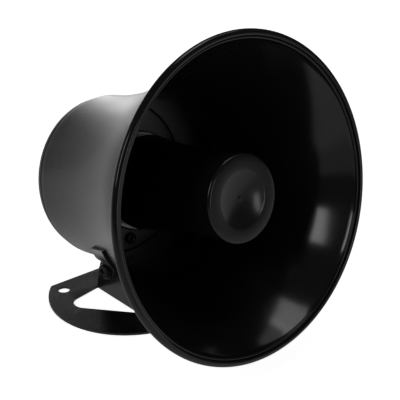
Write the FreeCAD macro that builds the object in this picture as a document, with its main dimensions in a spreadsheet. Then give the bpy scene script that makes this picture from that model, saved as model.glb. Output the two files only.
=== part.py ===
"""Small re-entrant horn loudspeaker on a tilting sheet-steel bracket.

Row frame: +Z up, millimetres, origin on the underside of the base plate below its disc centre.
The mouth faces -Y and is tilted up. Horn pieces are drawn in the horn's own frame: X across,
+Y backwards along the horn axis (the station, counted from the mouth plane), Z up, and are then
carried to their place by the tilt about the pivot bolt.
"""

import FreeCAD, Part
import math
import os
import re

import Sketcher

Vector = FreeCAD.Vector
Rotation = FreeCAD.Rotation
Placement = FreeCAD.Placement

OUT = "parts"

# Driving sizes: alias, value, what it is
SIZES = [
    ("tilt", 10.8, "horn axis above the horizontal, degrees"),
    ("sheet_thick", 1.0, "steel sheet of the base bracket"),
    ("base_radius", 37.9, "disc of the base plate"),
    ("base_flat", 27.8, "straight rear edge of the base plate, from the disc centre"),
    ("base_corner", 3.0, "rounding of the rear corners"),
    ("mount_across", 23.1, "rear fixing holes, half spacing"),
    ("mount_rear", 20.9, "rear fixing holes, behind the disc centre"),
    ("mount_front", 31.0, "front fixing hole, before the disc centre"),
    ("mount_radius", 2.75, "fixing holes"),
    ("ear_outer", 9.7, "outer face of an ear from the middle plane"),
    ("ear_bend", 1.5, "outside radius of the fold under an ear"),
    ("ear_root", 0.5, "inside radius of the fold of an ear"),
    ("ear_tip", 6.0, "round tip of an ear"),
    ("ear_tip_rear", 4.1, "centre of an ear's tip behind the disc centre"),
    ("ear_tip_height", 12.9, "centre of an ear's tip above the floor"),
    ("ear_rear", 13.4, "rear foot of an ear"),
    ("ear_front", 18.9, "front foot of an ear, before the disc centre"),
    ("window_reach", 21.1, "window tip centre from the middle plane"),
    ("window_rear", 4.9, "window tip centre behind the disc centre"),
    ("window_tip", 6.2, "round tip of a window"),
    ("pivot_rear", 3.1, "pivot behind the disc centre"),
    ("pivot_height", 13.9, "pivot above the floor"),
    ("pivot_station", 90.4, "pivot along the horn"),
    ("pivot_below", 5.7, "pivot below the bell's skin"),
    ("bolt_radius", 2.0, "pivot bolt shank"),
    ("bolt_clear", 0.1, "running clearance round the bolt in the holes"),
    ("bolt_head_radius", 3.5, "pivot bolt head"),
    ("bolt_head_thick", 1.5, "pivot bolt head"),
    ("head_recess", 0.9, "cross recess depth of the bolt head"),
    ("washer_radius", 4.2, "pivot washers"),
    ("washer_thick", 0.5, "pivot washers"),
    ("nut_across", 7.0, "pivot nut across its flats"),
    ("nut_thick", 3.2, "pivot nut"),
    ("bolt_beyond", 1.4, "bolt end beyond the nut"),
    ("slip", 0.1, "side play of a leg under its washer"),
    ("leg_gap", 0.3, "side play between an ear and a leg"),
    ("saddle_thick", 1.2, "steel sheet of the saddle"),
    ("saddle_seat", 0.1, "saddle clear of the bell skin"),
    ("saddle_front", 42.0, "front edge of the saddle, station"),
    ("saddle_turn", 60.0, "station where an upper edge meets a rear edge"),
    ("saddle_inset", 0.8, "half width there, less than the barrel's radius"),
    ("saddle_rise", 17.8, "upper edge there, above the barrel's lowest line"),
    ("saddle_climb", 0.22, "climb of the upper edges towards the mouth"),
    ("saddle_rear", 91.0, "rear end of the saddle, station"),
    ("leg_front", 80.0, "front of a leg at its root, station"),
    ("leg_tip", 5.0, "round lobe of a leg about the pivot"),
    ("mouth_radius", 63.5, "outside of the mouth bead"),
    ("barrel_radius", 36.3, "outside of the bell at the rear"),
    ("flare_station", 88.0, "where the flare begins"),
    ("bell_wall", 2.4, "wall of the bell"),
    ("bell_length", 91.5, "rear end of the bell, station"),
    ("lip_depth", 4.2, "depth of the mouth bead"),
    ("lip_width", 3.2, "mouth bead, outside to the flare's outer skin"),
    ("bead_radius", 1.4, "rounding of the outer bead"),
    ("groove_radius", 0.7, "groove in the face of the mouth bead"),
    ("inner_bead", 0.8, "rounding of the inner bead"),
    ("ledge_station", 87.0, "front of the ledge that carries the back plate"),
    ("ledge_thick", 2.5, "ledge"),
    ("ledge_inset", 4.4, "opening of the ledge inside the barrel's radius"),
    ("spigot_inset", 2.2, "rear bore of the bell inside the barrel's radius"),
    ("spigot_clear", 0.2, "cap spigot and back plate clear of the bore"),
    ("cap_step", 0.4, "cap below the bell skin at the seam"),
    ("cap_end", 95.8, "rear face of the cap, station"),
    ("cap_wall", 2.0, "wall of the cap"),
    ("cap_draft", 0.5, "taper of the cap's side"),
    ("cap_edge", 1.4, "rounded rear edge of the cap"),
    ("spigot_wall", 1.7, "wall of the cap spigot"),
    ("seal_thick", 1.0, "seal ring between ledge and spigot"),
    ("plate_thick", 3.0, "back plate"),
    ("hub_share", 0.598, "hub of the back plate, share of the barrel's radius"),
    ("hub_front", 69.0, "front of the hub, station"),
    ("hub_wall", 2.0, "walls of the hub"),
    ("hub_edge", 1.0, "rounded front edge of the hub"),
    ("dome_gap", 0.3, "dome clear of the surround"),
    ("seat_depth", 5.0, "seat of the driver behind the hub's front"),
    ("throat_radius", 4.5, "throat at the driver"),
    ("tube_mouth", 7.5, "inside of the throat tube at its front end"),
    ("tube_wall", 1.6, "wall of the throat tube"),
    ("tube_front", 34.0, "front end of the throat tube, station"),
    ("tube_flange", 12.0, "flange of the throat tube"),
    ("flange_thick", 2.0, "flange of the throat tube"),
    ("nose_front", 3.5, "front face of the nose, station"),
    ("nose_radius", 17.3, "nose cap"),
    ("nose_edge", 1.3, "rounded edge of the nose cap"),
    ("nose_depth", 3.8, "side of the nose cap"),
    ("dish_radius", 11.5, "dish in the nose cap"),
    ("dish_depth", 2.0, "dish in the nose cap"),
    ("cup_radius", 17.0, "reflex cup behind the nose cap"),
    ("cup_wall", 1.6, "wall of the reflex cup"),
    ("cup_straight", 20.0, "station where the reflex cup starts to flare"),
    ("skirt_radius", 20.4, "rear rim of the reflex cup"),
    ("skirt_end", 63.0, "rear rim of the reflex cup, station"),
    ("floor_station", 12.5, "front of the reflex cup's floor"),
    ("plug_clear", 0.2, "nose cap plug in the reflex cup"),
    ("plug_wall", 1.8, "nose cap plug"),
    ("spider_front", 46.0, "front end of the spider, station"),
    ("spider_long", 12.0, "spider"),
    ("sleeve_wall", 1.4, "sleeve of the spider"),
    ("vane_thick", 1.6, "vanes of the spider"),
    ("vane_count", 3, "vanes of the spider"),
    ("glue_line", 0.15, "glued joints of the spider"),
    ("surround_thick", 0.4, "diaphragm surround"),
    ("surround_roll", 0.8, "half width of the surround's roll"),
    ("dome_share", 0.58, "edge of the dome, share of the hub's radius"),
    ("dome_inset", 2.6, "edge of the dome inside the chamber"),
    ("dome_height", 2.4, "dome"),
    ("dome_flange", 1.1, "flat rim of the dome"),
    ("coil_clear", 0.4, "voice coil clear of the plate and the pole"),
    ("coil_wall", 0.6, "voice coil and its former"),
    ("coil_long", 6.0, "voice coil and its former"),
    ("gasket_thick", 1.0, "driver gasket"),
    ("top_thick", 3.0, "top plate"),
    ("stack_clear", 0.4, "driver clear of the hub bore"),
    ("magnet_thick", 8.0, "magnet"),
    ("magnet_clear", 1.9, "hole of the magnet outside the coil"),
    ("magnet_inset", 0.5, "magnet inside the edge of its plates"),
    ("yoke_thick", 3.5, "yoke flange"),
    ("clamp_thick", 1.2, "clamp ring"),
    ("clamp_rim", 3.3, "clamp ring beyond the hub"),
    ("clamp_grip", 4.7, "clamp ring inside the hub's bore"),
    ("clamp_out", 1.2, "clamp screws outside the hub"),
    ("clamp_post", 2.4, "posts for the clamp screws"),
    ("clamp_bite", 5.0, "clamp screws in their posts"),
    ("clamp_head_thick", 1.5, "head of a clamp screw"),
    ("screw_radius", 1.4, "plate screws"),
    ("clamp_screw", 1.1, "clamp screws"),
    ("screw_clear", 0.1, "round a screw in its hole"),
    ("screw_inset", 7.8, "plate screws inside the barrel's radius"),
    ("screw_head", 2.7, "head of a plate screw"),
    ("head_thick", 1.7, "head of a plate screw"),
    ("clamp_head", 2.0, "head of a clamp screw"),
    ("screw_long", 9.0, "plate screw below its head"),
    ("boss_radius", 3.1, "cap bosses for the plate screws"),
    ("boss_gap", 0.3, "cap bosses short of the back plate"),
    ("screw_count", 4, "plate screws, and clamp screws"),
    ("board_long", 14.0, "terminal board"),
    ("board_wide", 7.0, "terminal board"),
    ("board_thick", 1.0, "terminal board"),
    ("tag_long", 4.0, "solder tags"),
    ("tag_wide", 2.4, "solder tags"),
    ("tag_thick", 0.5, "solder tags"),
    ("tag_pitch", 7.0, "between the solder tags"),
    ("inlet_gap", 4.2, "grommet clear of the lowest boss"),
    ("inlet_radius", 3.7, "hole of the inlet"),
    ("grommet_flange", 5.2, "grommet outside"),
    ("grommet_bore", 2.3, "hole of the grommet"),
    ("grommet_outside", 1.6, "grommet behind the cap"),
    ("grommet_inside", 1.2, "grommet inside the cap"),
    ("grommet_clear", 0.1, "grommet neck in the hole"),
    ("saddle_screw_radius", 1.5, "saddle screws"),
    ("saddle_screw_head", 3.0, "head of a saddle screw"),
    ("saddle_screw_thick", 1.6, "head of a saddle screw"),
    ("saddle_screw_bite", 1.8, "saddle screw in the bell wall"),
    ("saddle_screw_first", 56.0, "front saddle screw, station"),
    ("saddle_screw_pitch", 16.0, "between the saddle screws"),
]

# Worked-out sizes: alias, formula, what it is
DERIVED = [
    ("axis_drop", "barrel_radius + pivot_below", "pivot below the horn axis"),
    ("mouth_rear", "pivot_rear - pivot_station * cos(tilt) + axis_drop * sin(tilt)", "mouth centre, Y"),
    ("mouth_height", "pivot_height + pivot_station * sin(tilt) + axis_drop * cos(tilt)", "mouth centre, Z"),
    ("ear_inner", "ear_outer - sheet_thick", "inner face of an ear"),
    ("leg_inner", "ear_outer + leg_gap", "inner face of a leg"),
    ("leg_outer", "leg_inner + saddle_thick", "outer face of a leg"),
    ("washer_face", "leg_outer + slip", "inner face of a washer"),
    ("head_face", "washer_face + washer_thick", "outer face of a washer"),
    ("hole_radius", "bolt_radius + bolt_clear", "pivot holes"),
    ("bore_wall", "barrel_radius - bell_wall", "inside of the bell at the rear"),
    ("ledge_radius", "barrel_radius - ledge_inset", "opening of the ledge"),
    ("spigot_radius", "barrel_radius - spigot_inset", "rear bore of the bell"),
    ("hub_radius", "barrel_radius * hub_share", "hub of the back plate, outside"),
    ("hub_bore", "hub_radius - hub_wall", "hub of the back plate, inside"),
    ("dome_radius", "hub_radius * dome_share", "outer edge of the dome"),
    ("dome_room", "dome_radius + dome_inset", "radius of the chamber before the dome"),
    ("magnet_bore", "dome_radius + magnet_clear", "hole of the magnet"),
    ("clamp_radius", "hub_radius + clamp_rim", "outside of the clamp ring"),
    ("clamp_bore", "hub_bore - clamp_grip", "inside of the clamp ring"),
    ("clamp_circle", "hub_radius + clamp_out", "clamp screws from the axis"),
    ("screw_circle", "barrel_radius - screw_inset", "plate screws from the axis"),
    ("inlet_drop", "screw_circle - boss_radius - grommet_flange - inlet_gap", "inlet below the axis"),
    ("lip_root", "mouth_radius - lip_width", "outer skin of the flare at the bead"),
    ("groove_edge", "mouth_radius - bead_radius - groove_radius", "outer edge of the groove"),
    ("groove_inside", "groove_edge - 2 * groove_radius", "inner edge of the groove"),
    ("lip_inside", "groove_inside - inner_bead", "inner edge of the mouth bead"),
    ("ledge_back", "ledge_station + ledge_thick", "rear of the ledge"),
    ("spigot_front", "ledge_back + seal_thick", "front of the cap spigot"),
    ("spigot_outer", "spigot_radius - spigot_clear", "outside of the cap spigot"),
    ("spigot_inner", "spigot_outer - spigot_wall", "inside of the cap spigot"),
    ("cap_radius", "barrel_radius - cap_step", "cap at the seam"),
    ("cap_inside", "cap_end - cap_wall", "inner face of the cap's floor"),
    ("cap_rim", "cap_radius - cap_draft", "cap before its rounded edge"),
    ("plate_front", "ledge_station - plate_thick", "front face of the back plate"),
    ("plate_radius", "bore_wall - spigot_clear", "edge of the back plate"),
    ("seat_station", "hub_front + seat_depth", "seat of the driver"),
    ("chamber_front", "hub_front + hub_wall", "front of the dome chamber"),
    ("throat_outside", "throat_radius + tube_wall", "outside of the throat tube at the flange"),
    ("tube_outside", "tube_mouth + tube_wall", "outside of the throat tube at its front"),
    ("flange_front", "hub_front - flange_thick", "front of the throat tube's flange"),
    ("tube_slope", "(tube_outside - throat_outside) / (flange_front - tube_front)", "taper of the tube"),
    ("nose_back", "nose_front + nose_depth", "rear face of the nose cap"),
    ("cup_inside", "cup_radius - cup_wall", "inside of the reflex cup"),
    ("skirt_inside", "skirt_radius - cup_wall", "inside of the skirt"),
    ("skirt_run", "skirt_end - cup_straight", "length of the skirt's flare"),
    ("skirt_rise", "skirt_radius - cup_radius", "rise of the skirt's flare"),
    ("skirt_bend", "(skirt_run ^ 2 + skirt_rise ^ 2) / (2 * skirt_rise)", "radius of the skirt's flare"),
    ("floor_back", "floor_station + cup_wall", "rear of the reflex cup's floor"),
    ("spider_back", "spider_front + spider_long", "rear end of the spider"),
    ("gasket_front", "seat_station + surround_thick", "gasket"),
    ("top_front", "gasket_front + gasket_thick", "top plate"),
    ("magnet_front", "top_front + top_thick", "magnet"),
    ("yoke_front", "magnet_front + magnet_thick", "yoke flange"),
    ("yoke_back", "yoke_front + yoke_thick", "yoke flange"),
    ("clamp_back", "yoke_back + clamp_thick", "clamp ring"),
    ("stack_radius", "hub_bore - stack_clear", "outside of the driver"),
    ("coil_inner", "dome_radius - coil_wall", "inside of the voice coil"),
    ("pole_radius", "coil_inner - coil_clear", "pole"),
    ("gap_radius", "dome_radius + coil_clear", "hole of the top plate"),
    ("flare_radius", "((flare_station - lip_depth) ^ 2 + (lip_root - barrel_radius) ^ 2)"
                     " / (2 * (lip_root - barrel_radius))", "radius of the flare's outer skin"),
    ("inner_rise", "lip_inside - inner_bead / 2 - bore_wall", "rise of the flare's inner skin"),
    ("inner_bend", "((ledge_station - 2 * inner_bead) ^ 2 + inner_rise ^ 2) / (2 * inner_rise)",
     "radius of the flare's inner skin"),
    ("dish_bend", "(dish_radius ^ 2 + dish_depth ^ 2) / (2 * dish_depth)", "radius of the dish"),
    ("plug_outer", "cup_inside - plug_clear", "outside of the nose cap's plug"),
    ("surround_inside", "dome_radius + dome_gap", "inner edge of the surround"),
    ("roll_middle", "surround_inside + surround_thick + surround_roll", "middle of the roll"),
    ("roll_bend", "surround_roll * 1.1", "radius of the roll"),
    ("dome_base", "dome_radius - dome_flange", "foot of the dome"),
    ("dome_bend", "(dome_base ^ 2 + dome_height ^ 2) / (2 * dome_height)", "radius of the dome"),
    ("saddle_inner", "barrel_radius + saddle_seat", "inside of the saddle at the rear"),
    ("saddle_outer", "saddle_inner + saddle_thick", "outside of the saddle at the rear"),
    ("saddle_spread", "barrel_radius - saddle_inset", "half width where the edges meet"),
    ("saddle_top", "barrel_radius - saddle_rise", "upper edge there, below the horn axis"),
    ("leg_middle", "(leg_inner + leg_outer) / 2", "middle of a leg's sheet"),
    ("leg_root", "sqrt(((saddle_inner + saddle_outer) / 2) ^ 2 - leg_middle ^ 2)", "top of a leg"),
]

doc = FreeCAD.newDocument("horn_speaker")
sheet = doc.addObject("Spreadsheet::Sheet", "Sizes")


def fill_sheet():
    """Write the sizes as text and name each cell."""
    for row, (alias, value, note) in enumerate(SIZES + DERIVED, start=1):
        text = "=" + value if isinstance(value, str) else repr(value)
        sheet.set(f"A{row}", alias)
        sheet.set(f"B{row}", text)
        sheet.set(f"C{row}", note)
        sheet.setAlias(f"B{row}", alias)
    doc.recompute()


fill_sheet()
ALIASES = {alias for alias, _, _ in SIZES + DERIVED}


def size(formula):
    """Value of a formula of sheet aliases."""
    return float(sheet.evalExpression(formula))


def bound(formula):
    """The same formula as another object of the document writes it."""
    def name(match):
        word = match.group(0)
        return "Sizes." + word if word in ALIASES else word
    return re.sub(r"[A-Za-z_]+", name, formula)


def bind(item, **formulas):
    """Bind properties of an object to formulas of the sheet."""
    for prop, formula in formulas.items():
        item.setExpression(prop, bound(formula))


def new_body(name):
    """Empty body whose label is the node's name."""
    body = doc.addObject("PartDesign::Body", name)
    body.Label = name
    return body


def plane(body, role):
    """Origin plane or axis of a body by its role."""
    return next(item for item in body.Origin.OriginFeatures if item.Role == role)


def new_sketch(body, name, role, lift=None, turn=0.0):
    """Sketch on an origin plane of the body, lifted along its normal or turned about its X."""
    sketch = body.newObject("Sketcher::SketchObject", name)
    sketch.AttachmentSupport = [(plane(body, role), "")]
    sketch.MapMode = "FlatFace"
    if turn:
        sketch.AttachmentOffset = Placement(Vector(), Rotation(Vector(1, 0, 0), turn))
    if lift:
        sketch.AttachmentOffset = Placement(Vector(0, 0, size(lift)), Rotation())
        sketch.setExpression("AttachmentOffset.Base.z", bound(lift))
    return sketch


def pin(sketch, geometry, end, across, up):
    """Fix a point of a sketch at two formulas."""
    if across == "0" and up == "0":
        sketch.addConstraint(Sketcher.Constraint("Coincident", geometry, end, -1, 1))
        return
    for kind, axis, formula in (("DistanceX", -2, across), ("DistanceY", -1, up)):
        if formula == "0":
            sketch.addConstraint(Sketcher.Constraint("PointOnObject", geometry, end, axis))
        else:
            index = sketch.addConstraint(
                Sketcher.Constraint(kind, -1, 1, geometry, end, size(formula)))
            sketch.setExpression(f"Constraints[{index}]", bound(formula))


def arc_between(start, end, radius, side):
    """Minor arc from start to end with its centre on the left or right of the way."""
    chord = end - start
    half = chord.Length / 2
    left = Vector(-chord.y, chord.x, 0).normalize()
    reach = math.sqrt(max(radius ** 2 - half ** 2, 0.0))
    centre = (start + end) / 2 + left * (reach if side == "left" else -reach)
    first, last = (start, end) if side == "left" else (end, start)
    angles = [math.atan2(point.y - centre.y, point.x - centre.x) for point in (first, last)]
    return Part.ArcOfCircle(Part.Circle(centre, Vector(0, 0, 1), radius), *angles)


def outline(sketch, corners):
    """Closed outline through corners (across, up) or (across, up, side, radius).

    A side and a radius make the edge that leaves the corner an arc, with its centre on that side.
    """
    places = [Vector(size(corner[0]), size(corner[1]), 0) for corner in corners]
    edges = []
    for index, corner in enumerate(corners):
        start = places[index]
        end = places[(index + 1) % len(places)]
        if len(corner) == 2:
            edges.append((sketch.addGeometry(Part.LineSegment(start, end), False), 1, 2))
            continue
        side, radius = corner[2:]
        geometry = sketch.addGeometry(arc_between(start, end, size(radius), side), False)
        edges.append((geometry, 1, 2) if side == "left" else (geometry, 2, 1))
    for index, (geometry, start, _) in enumerate(edges):
        before, _, end = edges[index - 1]
        sketch.addConstraint(Sketcher.Constraint("Coincident", before, end, geometry, start))
        pin(sketch, geometry, start, corners[index][0], corners[index][1])
    for (geometry, _, _), corner in zip(edges, corners):
        if len(corner) == 4:
            index = sketch.addConstraint(
                Sketcher.Constraint("Radius", geometry, size(corner[3])))
            sketch.setExpression(f"Constraints[{index}]", bound(corner[3]))


def ring(sketch, across, up, radius):
    """Circle in a sketch."""
    centre = Vector(size(across), size(up), 0)
    circle = Part.Circle(centre, Vector(0, 0, 1), size(radius))
    geometry = sketch.addGeometry(circle, False)
    pin(sketch, geometry, 3, across, up)
    index = sketch.addConstraint(Sketcher.Constraint("Radius", geometry, size(radius)))
    sketch.setExpression(f"Constraints[{index}]", bound(radius))


def tongue(sketch, foot_first, foot_last, centre, radius):
    """Outline of a tongue: a straight foot and two edges tangent to a round tip.

    Walked from the first foot corner to the last, the tip lies on the left.
    """
    first, last, middle = (
        Vector(size(x), size(y), 0) for x, y in (foot_first, foot_last, centre))
    reach = size(radius)

    def touch(foot, turn):
        way = middle - foot
        lean = math.asin(reach / way.Length) * turn
        along = math.sqrt(way.Length ** 2 - reach ** 2)
        unit = way.normalize()
        return foot + Vector(
            unit.x * math.cos(lean) - unit.y * math.sin(lean),
            unit.x * math.sin(lean) + unit.y * math.cos(lean), 0) * along

    leave = touch(last, -1)
    arrive = touch(first, 1)
    angles = [math.atan2(point.y - middle.y, point.x - middle.x) for point in (leave, arrive)]
    tip = Part.ArcOfCircle(Part.Circle(middle, Vector(0, 0, 1), reach), *angles)
    foot = sketch.addGeometry(Part.LineSegment(first, last), False)
    out = sketch.addGeometry(Part.LineSegment(last, leave), False)
    bow = sketch.addGeometry(tip, False)
    back = sketch.addGeometry(Part.LineSegment(arrive, first), False)
    sketch.addConstraint(Sketcher.Constraint("Coincident", foot, 2, out, 1))
    sketch.addConstraint(Sketcher.Constraint("Tangent", out, 2, bow, 1))
    sketch.addConstraint(Sketcher.Constraint("Tangent", bow, 2, back, 1))
    sketch.addConstraint(Sketcher.Constraint("Coincident", back, 2, foot, 1))
    pin(sketch, foot, 1, *foot_first)
    pin(sketch, foot, 2, *foot_last)
    pin(sketch, bow, 3, *centre)
    index = sketch.addConstraint(Sketcher.Constraint("Radius", bow, reach))
    sketch.setExpression(f"Constraints[{index}]", bound(radius))


def pad(body, name, sketch, length, symmetric=False, back=False):
    """Pad a sketch by a formula."""
    feature = body.newObject("PartDesign::Pad", name)
    feature.Profile = sketch
    feature.SideType = "Symmetric" if symmetric else "One side"
    feature.Reversed = back
    feature.Length = size(length)
    bind(feature, Length=length)
    doc.recompute()
    return feature


def pocket(body, name, sketch, length, symmetric=False, back=False):
    """Pocket a sketch by a formula, and make sure that it cut."""
    before = body.Shape.Volume
    feature = body.newObject("PartDesign::Pocket", name)
    feature.Profile = sketch
    feature.SideType = "Symmetric" if symmetric else "One side"
    feature.Reversed = back
    feature.Length = size(length)
    bind(feature, Length=length)
    doc.recompute()
    if body.Shape.Volume >= before:
        raise RuntimeError(f"{name} cut nothing")
    return feature


def revolve(body, name, sketch):
    """Turn a section of stations and radii about the horn axis."""
    feature = body.newObject("PartDesign::Revolution", name)
    feature.Profile = sketch
    feature.ReferenceAxis = (sketch, ["H_Axis"])
    feature.Angle = 360
    doc.recompute()
    return feature


def turned(name, corners):
    """Body turned about the horn axis from corners of station and radius."""
    body = new_body(name)
    sketch = new_sketch(body, name + "_section", "YZ_Plane")
    outline(sketch, corners)
    revolve(body, name + "_turn", sketch)
    return body


def turned_below(name, drop, corners, turn=0.0):
    """Body turned about a line parallel to the horn axis, a drop below it.

    A turn carries that line round the horn axis, in degrees.
    """
    body = new_body(name)
    sketch = new_sketch(body, name + "_section", "YZ_Plane", turn=turn)
    first, last = corners[0][0], corners[1][0]
    ends = [Vector(size(station), -size(drop), 0) for station in (first, last)]
    line = sketch.addGeometry(Part.LineSegment(*ends), True)
    pin(sketch, line, 1, first, f"-{drop}")
    pin(sketch, line, 2, last, f"-{drop}")
    outline(sketch, [
        (corner[0], f"-({drop}) - ({corner[1]})", *corner[2:]) for corner in corners])
    feature = revolve(body, name + "_turn", sketch)
    feature.ReferenceAxis = (sketch, ["Axis0"])
    doc.recompute()
    return body


def round_edges(body, name, radius, choose):
    """Fillet the edges of the body's last feature that a test picks."""
    base = body.Tip
    names = [f"Edge{i}" for i, edge in enumerate(base.Shape.Edges, start=1) if choose(edge)]
    if not names:
        raise RuntimeError(f"{name} found no edge")
    feature = body.newObject("PartDesign::Fillet", name)
    feature.Base = (base, names)
    feature.Radius = size(radius)
    bind(feature, Radius=radius)
    doc.recompute()
    return feature


def around(body, name, features, count, axis="Y_Axis"):
    """Repeat features of a body about an axis."""
    pattern = body.newObject("PartDesign::PolarPattern", name)
    pattern.Originals = features
    pattern.Axis = (plane(body, axis), [""])
    pattern.Angle = 360
    pattern.Occurrences = int(size(count))
    bind(pattern, Occurrences=count)
    body.Tip = pattern
    doc.recompute()
    return pattern


def mirror(body, name, features):
    """Repeat features of a body on the other side of the middle plane."""
    feature = body.newObject("PartDesign::Mirrored", name)
    feature.Originals = features
    feature.MirrorPlane = (plane(body, "YZ_Plane"), [""])
    body.Tip = feature
    doc.recompute()
    return feature


def carry(item):
    """Carry a piece from the horn's frame to its place on the bracket."""
    item.Placement = Placement(
        Vector(0, size("mouth_rear"), size("mouth_height")),
        Rotation(Vector(-1, 0, 0), size("tilt")))
    item.setExpression("Placement.Base.y", bound("mouth_rear"))
    item.setExpression("Placement.Base.z", bound("mouth_height"))
    item.setExpression("Placement.Rotation.Angle", bound("tilt"))
    return item


def cylinder(name, radius, length, start, axis=Vector(0, 1, 0)):
    """Part cylinder from a start point of three formulas along an axis."""
    item = doc.addObject("Part::Cylinder", name)
    item.Radius = size(radius)
    item.Height = size(length)
    item.Placement = Placement(
        Vector(*(size(formula) for formula in start)), Rotation(Vector(0, 0, 1), axis))
    bind(item, Radius=radius, Height=length)
    for letter, formula in zip("xyz", start):
        item.setExpression(f"Placement.Base.{letter}", bound(formula))
    return item


def block(name, sides, start):
    """Part box of three side formulas from a start corner of three formulas."""
    item = doc.addObject("Part::Box", name)
    for prop, formula in zip(("Length", "Width", "Height"), sides):
        setattr(item, prop, size(formula))
        bind(item, **{prop: formula})
    for letter, formula in zip("xyz", start):
        item.setExpression(f"Placement.Base.{letter}", bound(formula))
    return item


def join(name, pieces):
    """Fuse pieces to one."""
    item = doc.addObject("Part::MultiFuse", name)
    item.Label = name
    item.Shapes = pieces
    item.Refine = True
    return item


def cut(name, base, tool):
    """Cut one piece by another."""
    item = doc.addObject("Part::Cut", name)
    item.Label = name
    item.Base = base
    item.Tool = tool
    return item


def compound(name, pieces):
    """Group separate solids in one node."""
    item = doc.addObject("Part::Compound", name)
    item.Label = name
    item.Links = pieces
    return item


def skin_radius(station):
    """Formula of the flare's outer radius at a station."""
    run = f"(flare_station - ({station}))"
    return f"(barrel_radius + flare_radius - sqrt(flare_radius ^ 2 - {run} ^ 2))"


def tube_radius(station):
    """Formula of the throat tube's outer radius at a station."""
    return f"(throat_outside + tube_slope * (flange_front - ({station})))"


def cup_bore(station):
    """Formula of the reflex cup's inner radius at a station on its skirt."""
    run = f"(({station}) - cup_straight)"
    return f"(cup_inside + skirt_bend - sqrt(skirt_bend ^ 2 - {run} ^ 2))"


# Base bracket
def make_base_bracket():
    """Round plate with a straight rear edge and two ears folded up out of their windows."""
    body = new_body("base_bracket")
    disc = new_sketch(body, "plate_outline", "XY_Plane")
    corner = "sqrt(base_radius ^ 2 - base_flat ^ 2)"
    outline(disc, [
        (corner, "base_flat"),
        (f"-{corner}", "base_flat", "left", "base_radius"),
        ("0", "-base_radius", "left", "base_radius"),
    ])
    pad(body, "plate", disc, "sheet_thick")
    edge = size("base_flat")
    thick = size("sheet_thick")
    round_edges(body, "plate_corners", "base_corner", lambda e: (
        e.BoundBox.ZLength > thick / 2 and abs(e.CenterOfMass.y - edge) < 0.01))
    holes = new_sketch(body, "mount_holes", "XY_Plane")
    ring(holes, "mount_across", "mount_rear", "mount_radius")
    ring(holes, "-mount_across", "mount_rear", "mount_radius")
    ring(holes, "0", "-mount_front", "mount_radius")
    pocket(body, "mount_cut", holes, "sheet_thick", back=True)
    window = new_sketch(body, "window_outline", "XY_Plane")
    tongue(window, ("-ear_outer", "-ear_front"), ("-ear_outer", "ear_rear"),
           ("-window_reach", "window_rear"), "window_tip")
    opened = pocket(body, "window", window, "sheet_thick", back=True)
    mirror(body, "windows", [opened])
    ear = new_sketch(body, "ear_outline", "YZ_Plane", "-ear_outer")
    tongue(ear, ("-ear_front", "0"), ("ear_rear", "0"), ("ear_tip_rear", "ear_tip_height"),
           "ear_tip")
    folded = pad(body, "ear", ear, "sheet_thick")
    mirror(body, "ears", [folded])
    bore = new_sketch(body, "pivot_hole", "YZ_Plane")
    ring(bore, "pivot_rear", "pivot_height", "hole_radius")
    pocket(body, "pivot_bore", bore, "2 * ear_outer + 2 * sheet_thick", symmetric=True)
    outer = size("ear_outer")
    inner = size("ear_inner")
    long = size("(ear_front + ear_rear) / 2")
    round_edges(body, "fold_outside", "ear_bend", lambda e: (
        e.BoundBox.XLength < 0.01 and abs(abs(e.CenterOfMass.x) - outer) < 0.01
        and e.BoundBox.ZMax < 0.01 and e.Length > long))
    round_edges(body, "fold_inside", "ear_root", lambda e: (
        e.BoundBox.XLength < 0.01 and abs(abs(e.CenterOfMass.x) - inner) < 0.01
        and abs(e.CenterOfMass.z - thick) < 0.01 and e.Length > long))
    return body


# Pivot
def make_pivot():
    """Bolt with its head on the left, a washer under head and nut, and the nut."""
    left = Vector(-1, 0, 0)
    right = Vector(1, 0, 0)
    long = "2 * head_face + nut_thick + bolt_beyond"
    shank = cylinder("bolt_shank", "bolt_radius", long,
                     ("-head_face", "pivot_rear", "pivot_height"), right)
    head = cylinder("bolt_head", "bolt_head_radius", "bolt_head_thick",
                    ("-head_face", "pivot_rear", "pivot_height"), left)
    bolt = join("bolt_blank", [shank, head])
    arm = "bolt_head_radius * 0.62"
    slot = "bolt_head_radius * 0.24"
    end = "-head_face - bolt_head_thick"
    bars = [
        block(f"recess_{word}", ("head_recess", f"2 * {wide}", f"2 * {tall}"),
              (end, f"pivot_rear - {wide}", f"pivot_height - {tall}"))
        for word, wide, tall in (("across", arm, slot), ("up", slot, arm))]
    cut("pivot_bolt", bolt, join("recess", bars))
    rings = []
    for word, start in (("left", "-head_face"), ("right", "washer_face")):
        place = (start, "pivot_rear", "pivot_height")
        blank = cylinder(f"washer_{word}_disc", "washer_radius", "washer_thick", place, right)
        hole = cylinder(f"washer_{word}_hole", "hole_radius", "washer_thick", place, right)
        rings.append(cut(f"washer_{word}", blank, hole))
    compound("pivot_washers", rings)
    body = new_body("pivot_nut")
    hexagon = new_sketch(body, "nut_outline", "YZ_Plane", "head_face")
    reach = "nut_across / 2"
    across = "nut_across / sqrt(3)"
    outline(hexagon, [
        (f"pivot_rear + {across}", "pivot_height"),
        (f"pivot_rear + {across} / 2", f"pivot_height + {reach}"),
        (f"pivot_rear - {across} / 2", f"pivot_height + {reach}"),
        (f"pivot_rear - {across}", "pivot_height"),
        (f"pivot_rear - {across} / 2", f"pivot_height - {reach}"),
        (f"pivot_rear + {across} / 2", f"pivot_height - {reach}"),
    ])
    pad(body, "nut_blank", hexagon, "nut_thick")
    bore = new_sketch(body, "nut_hole", "YZ_Plane", "head_face")
    ring(bore, "pivot_rear", "pivot_height", "bolt_radius")
    pocket(body, "nut_bore", bore, "nut_thick", back=True)


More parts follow.
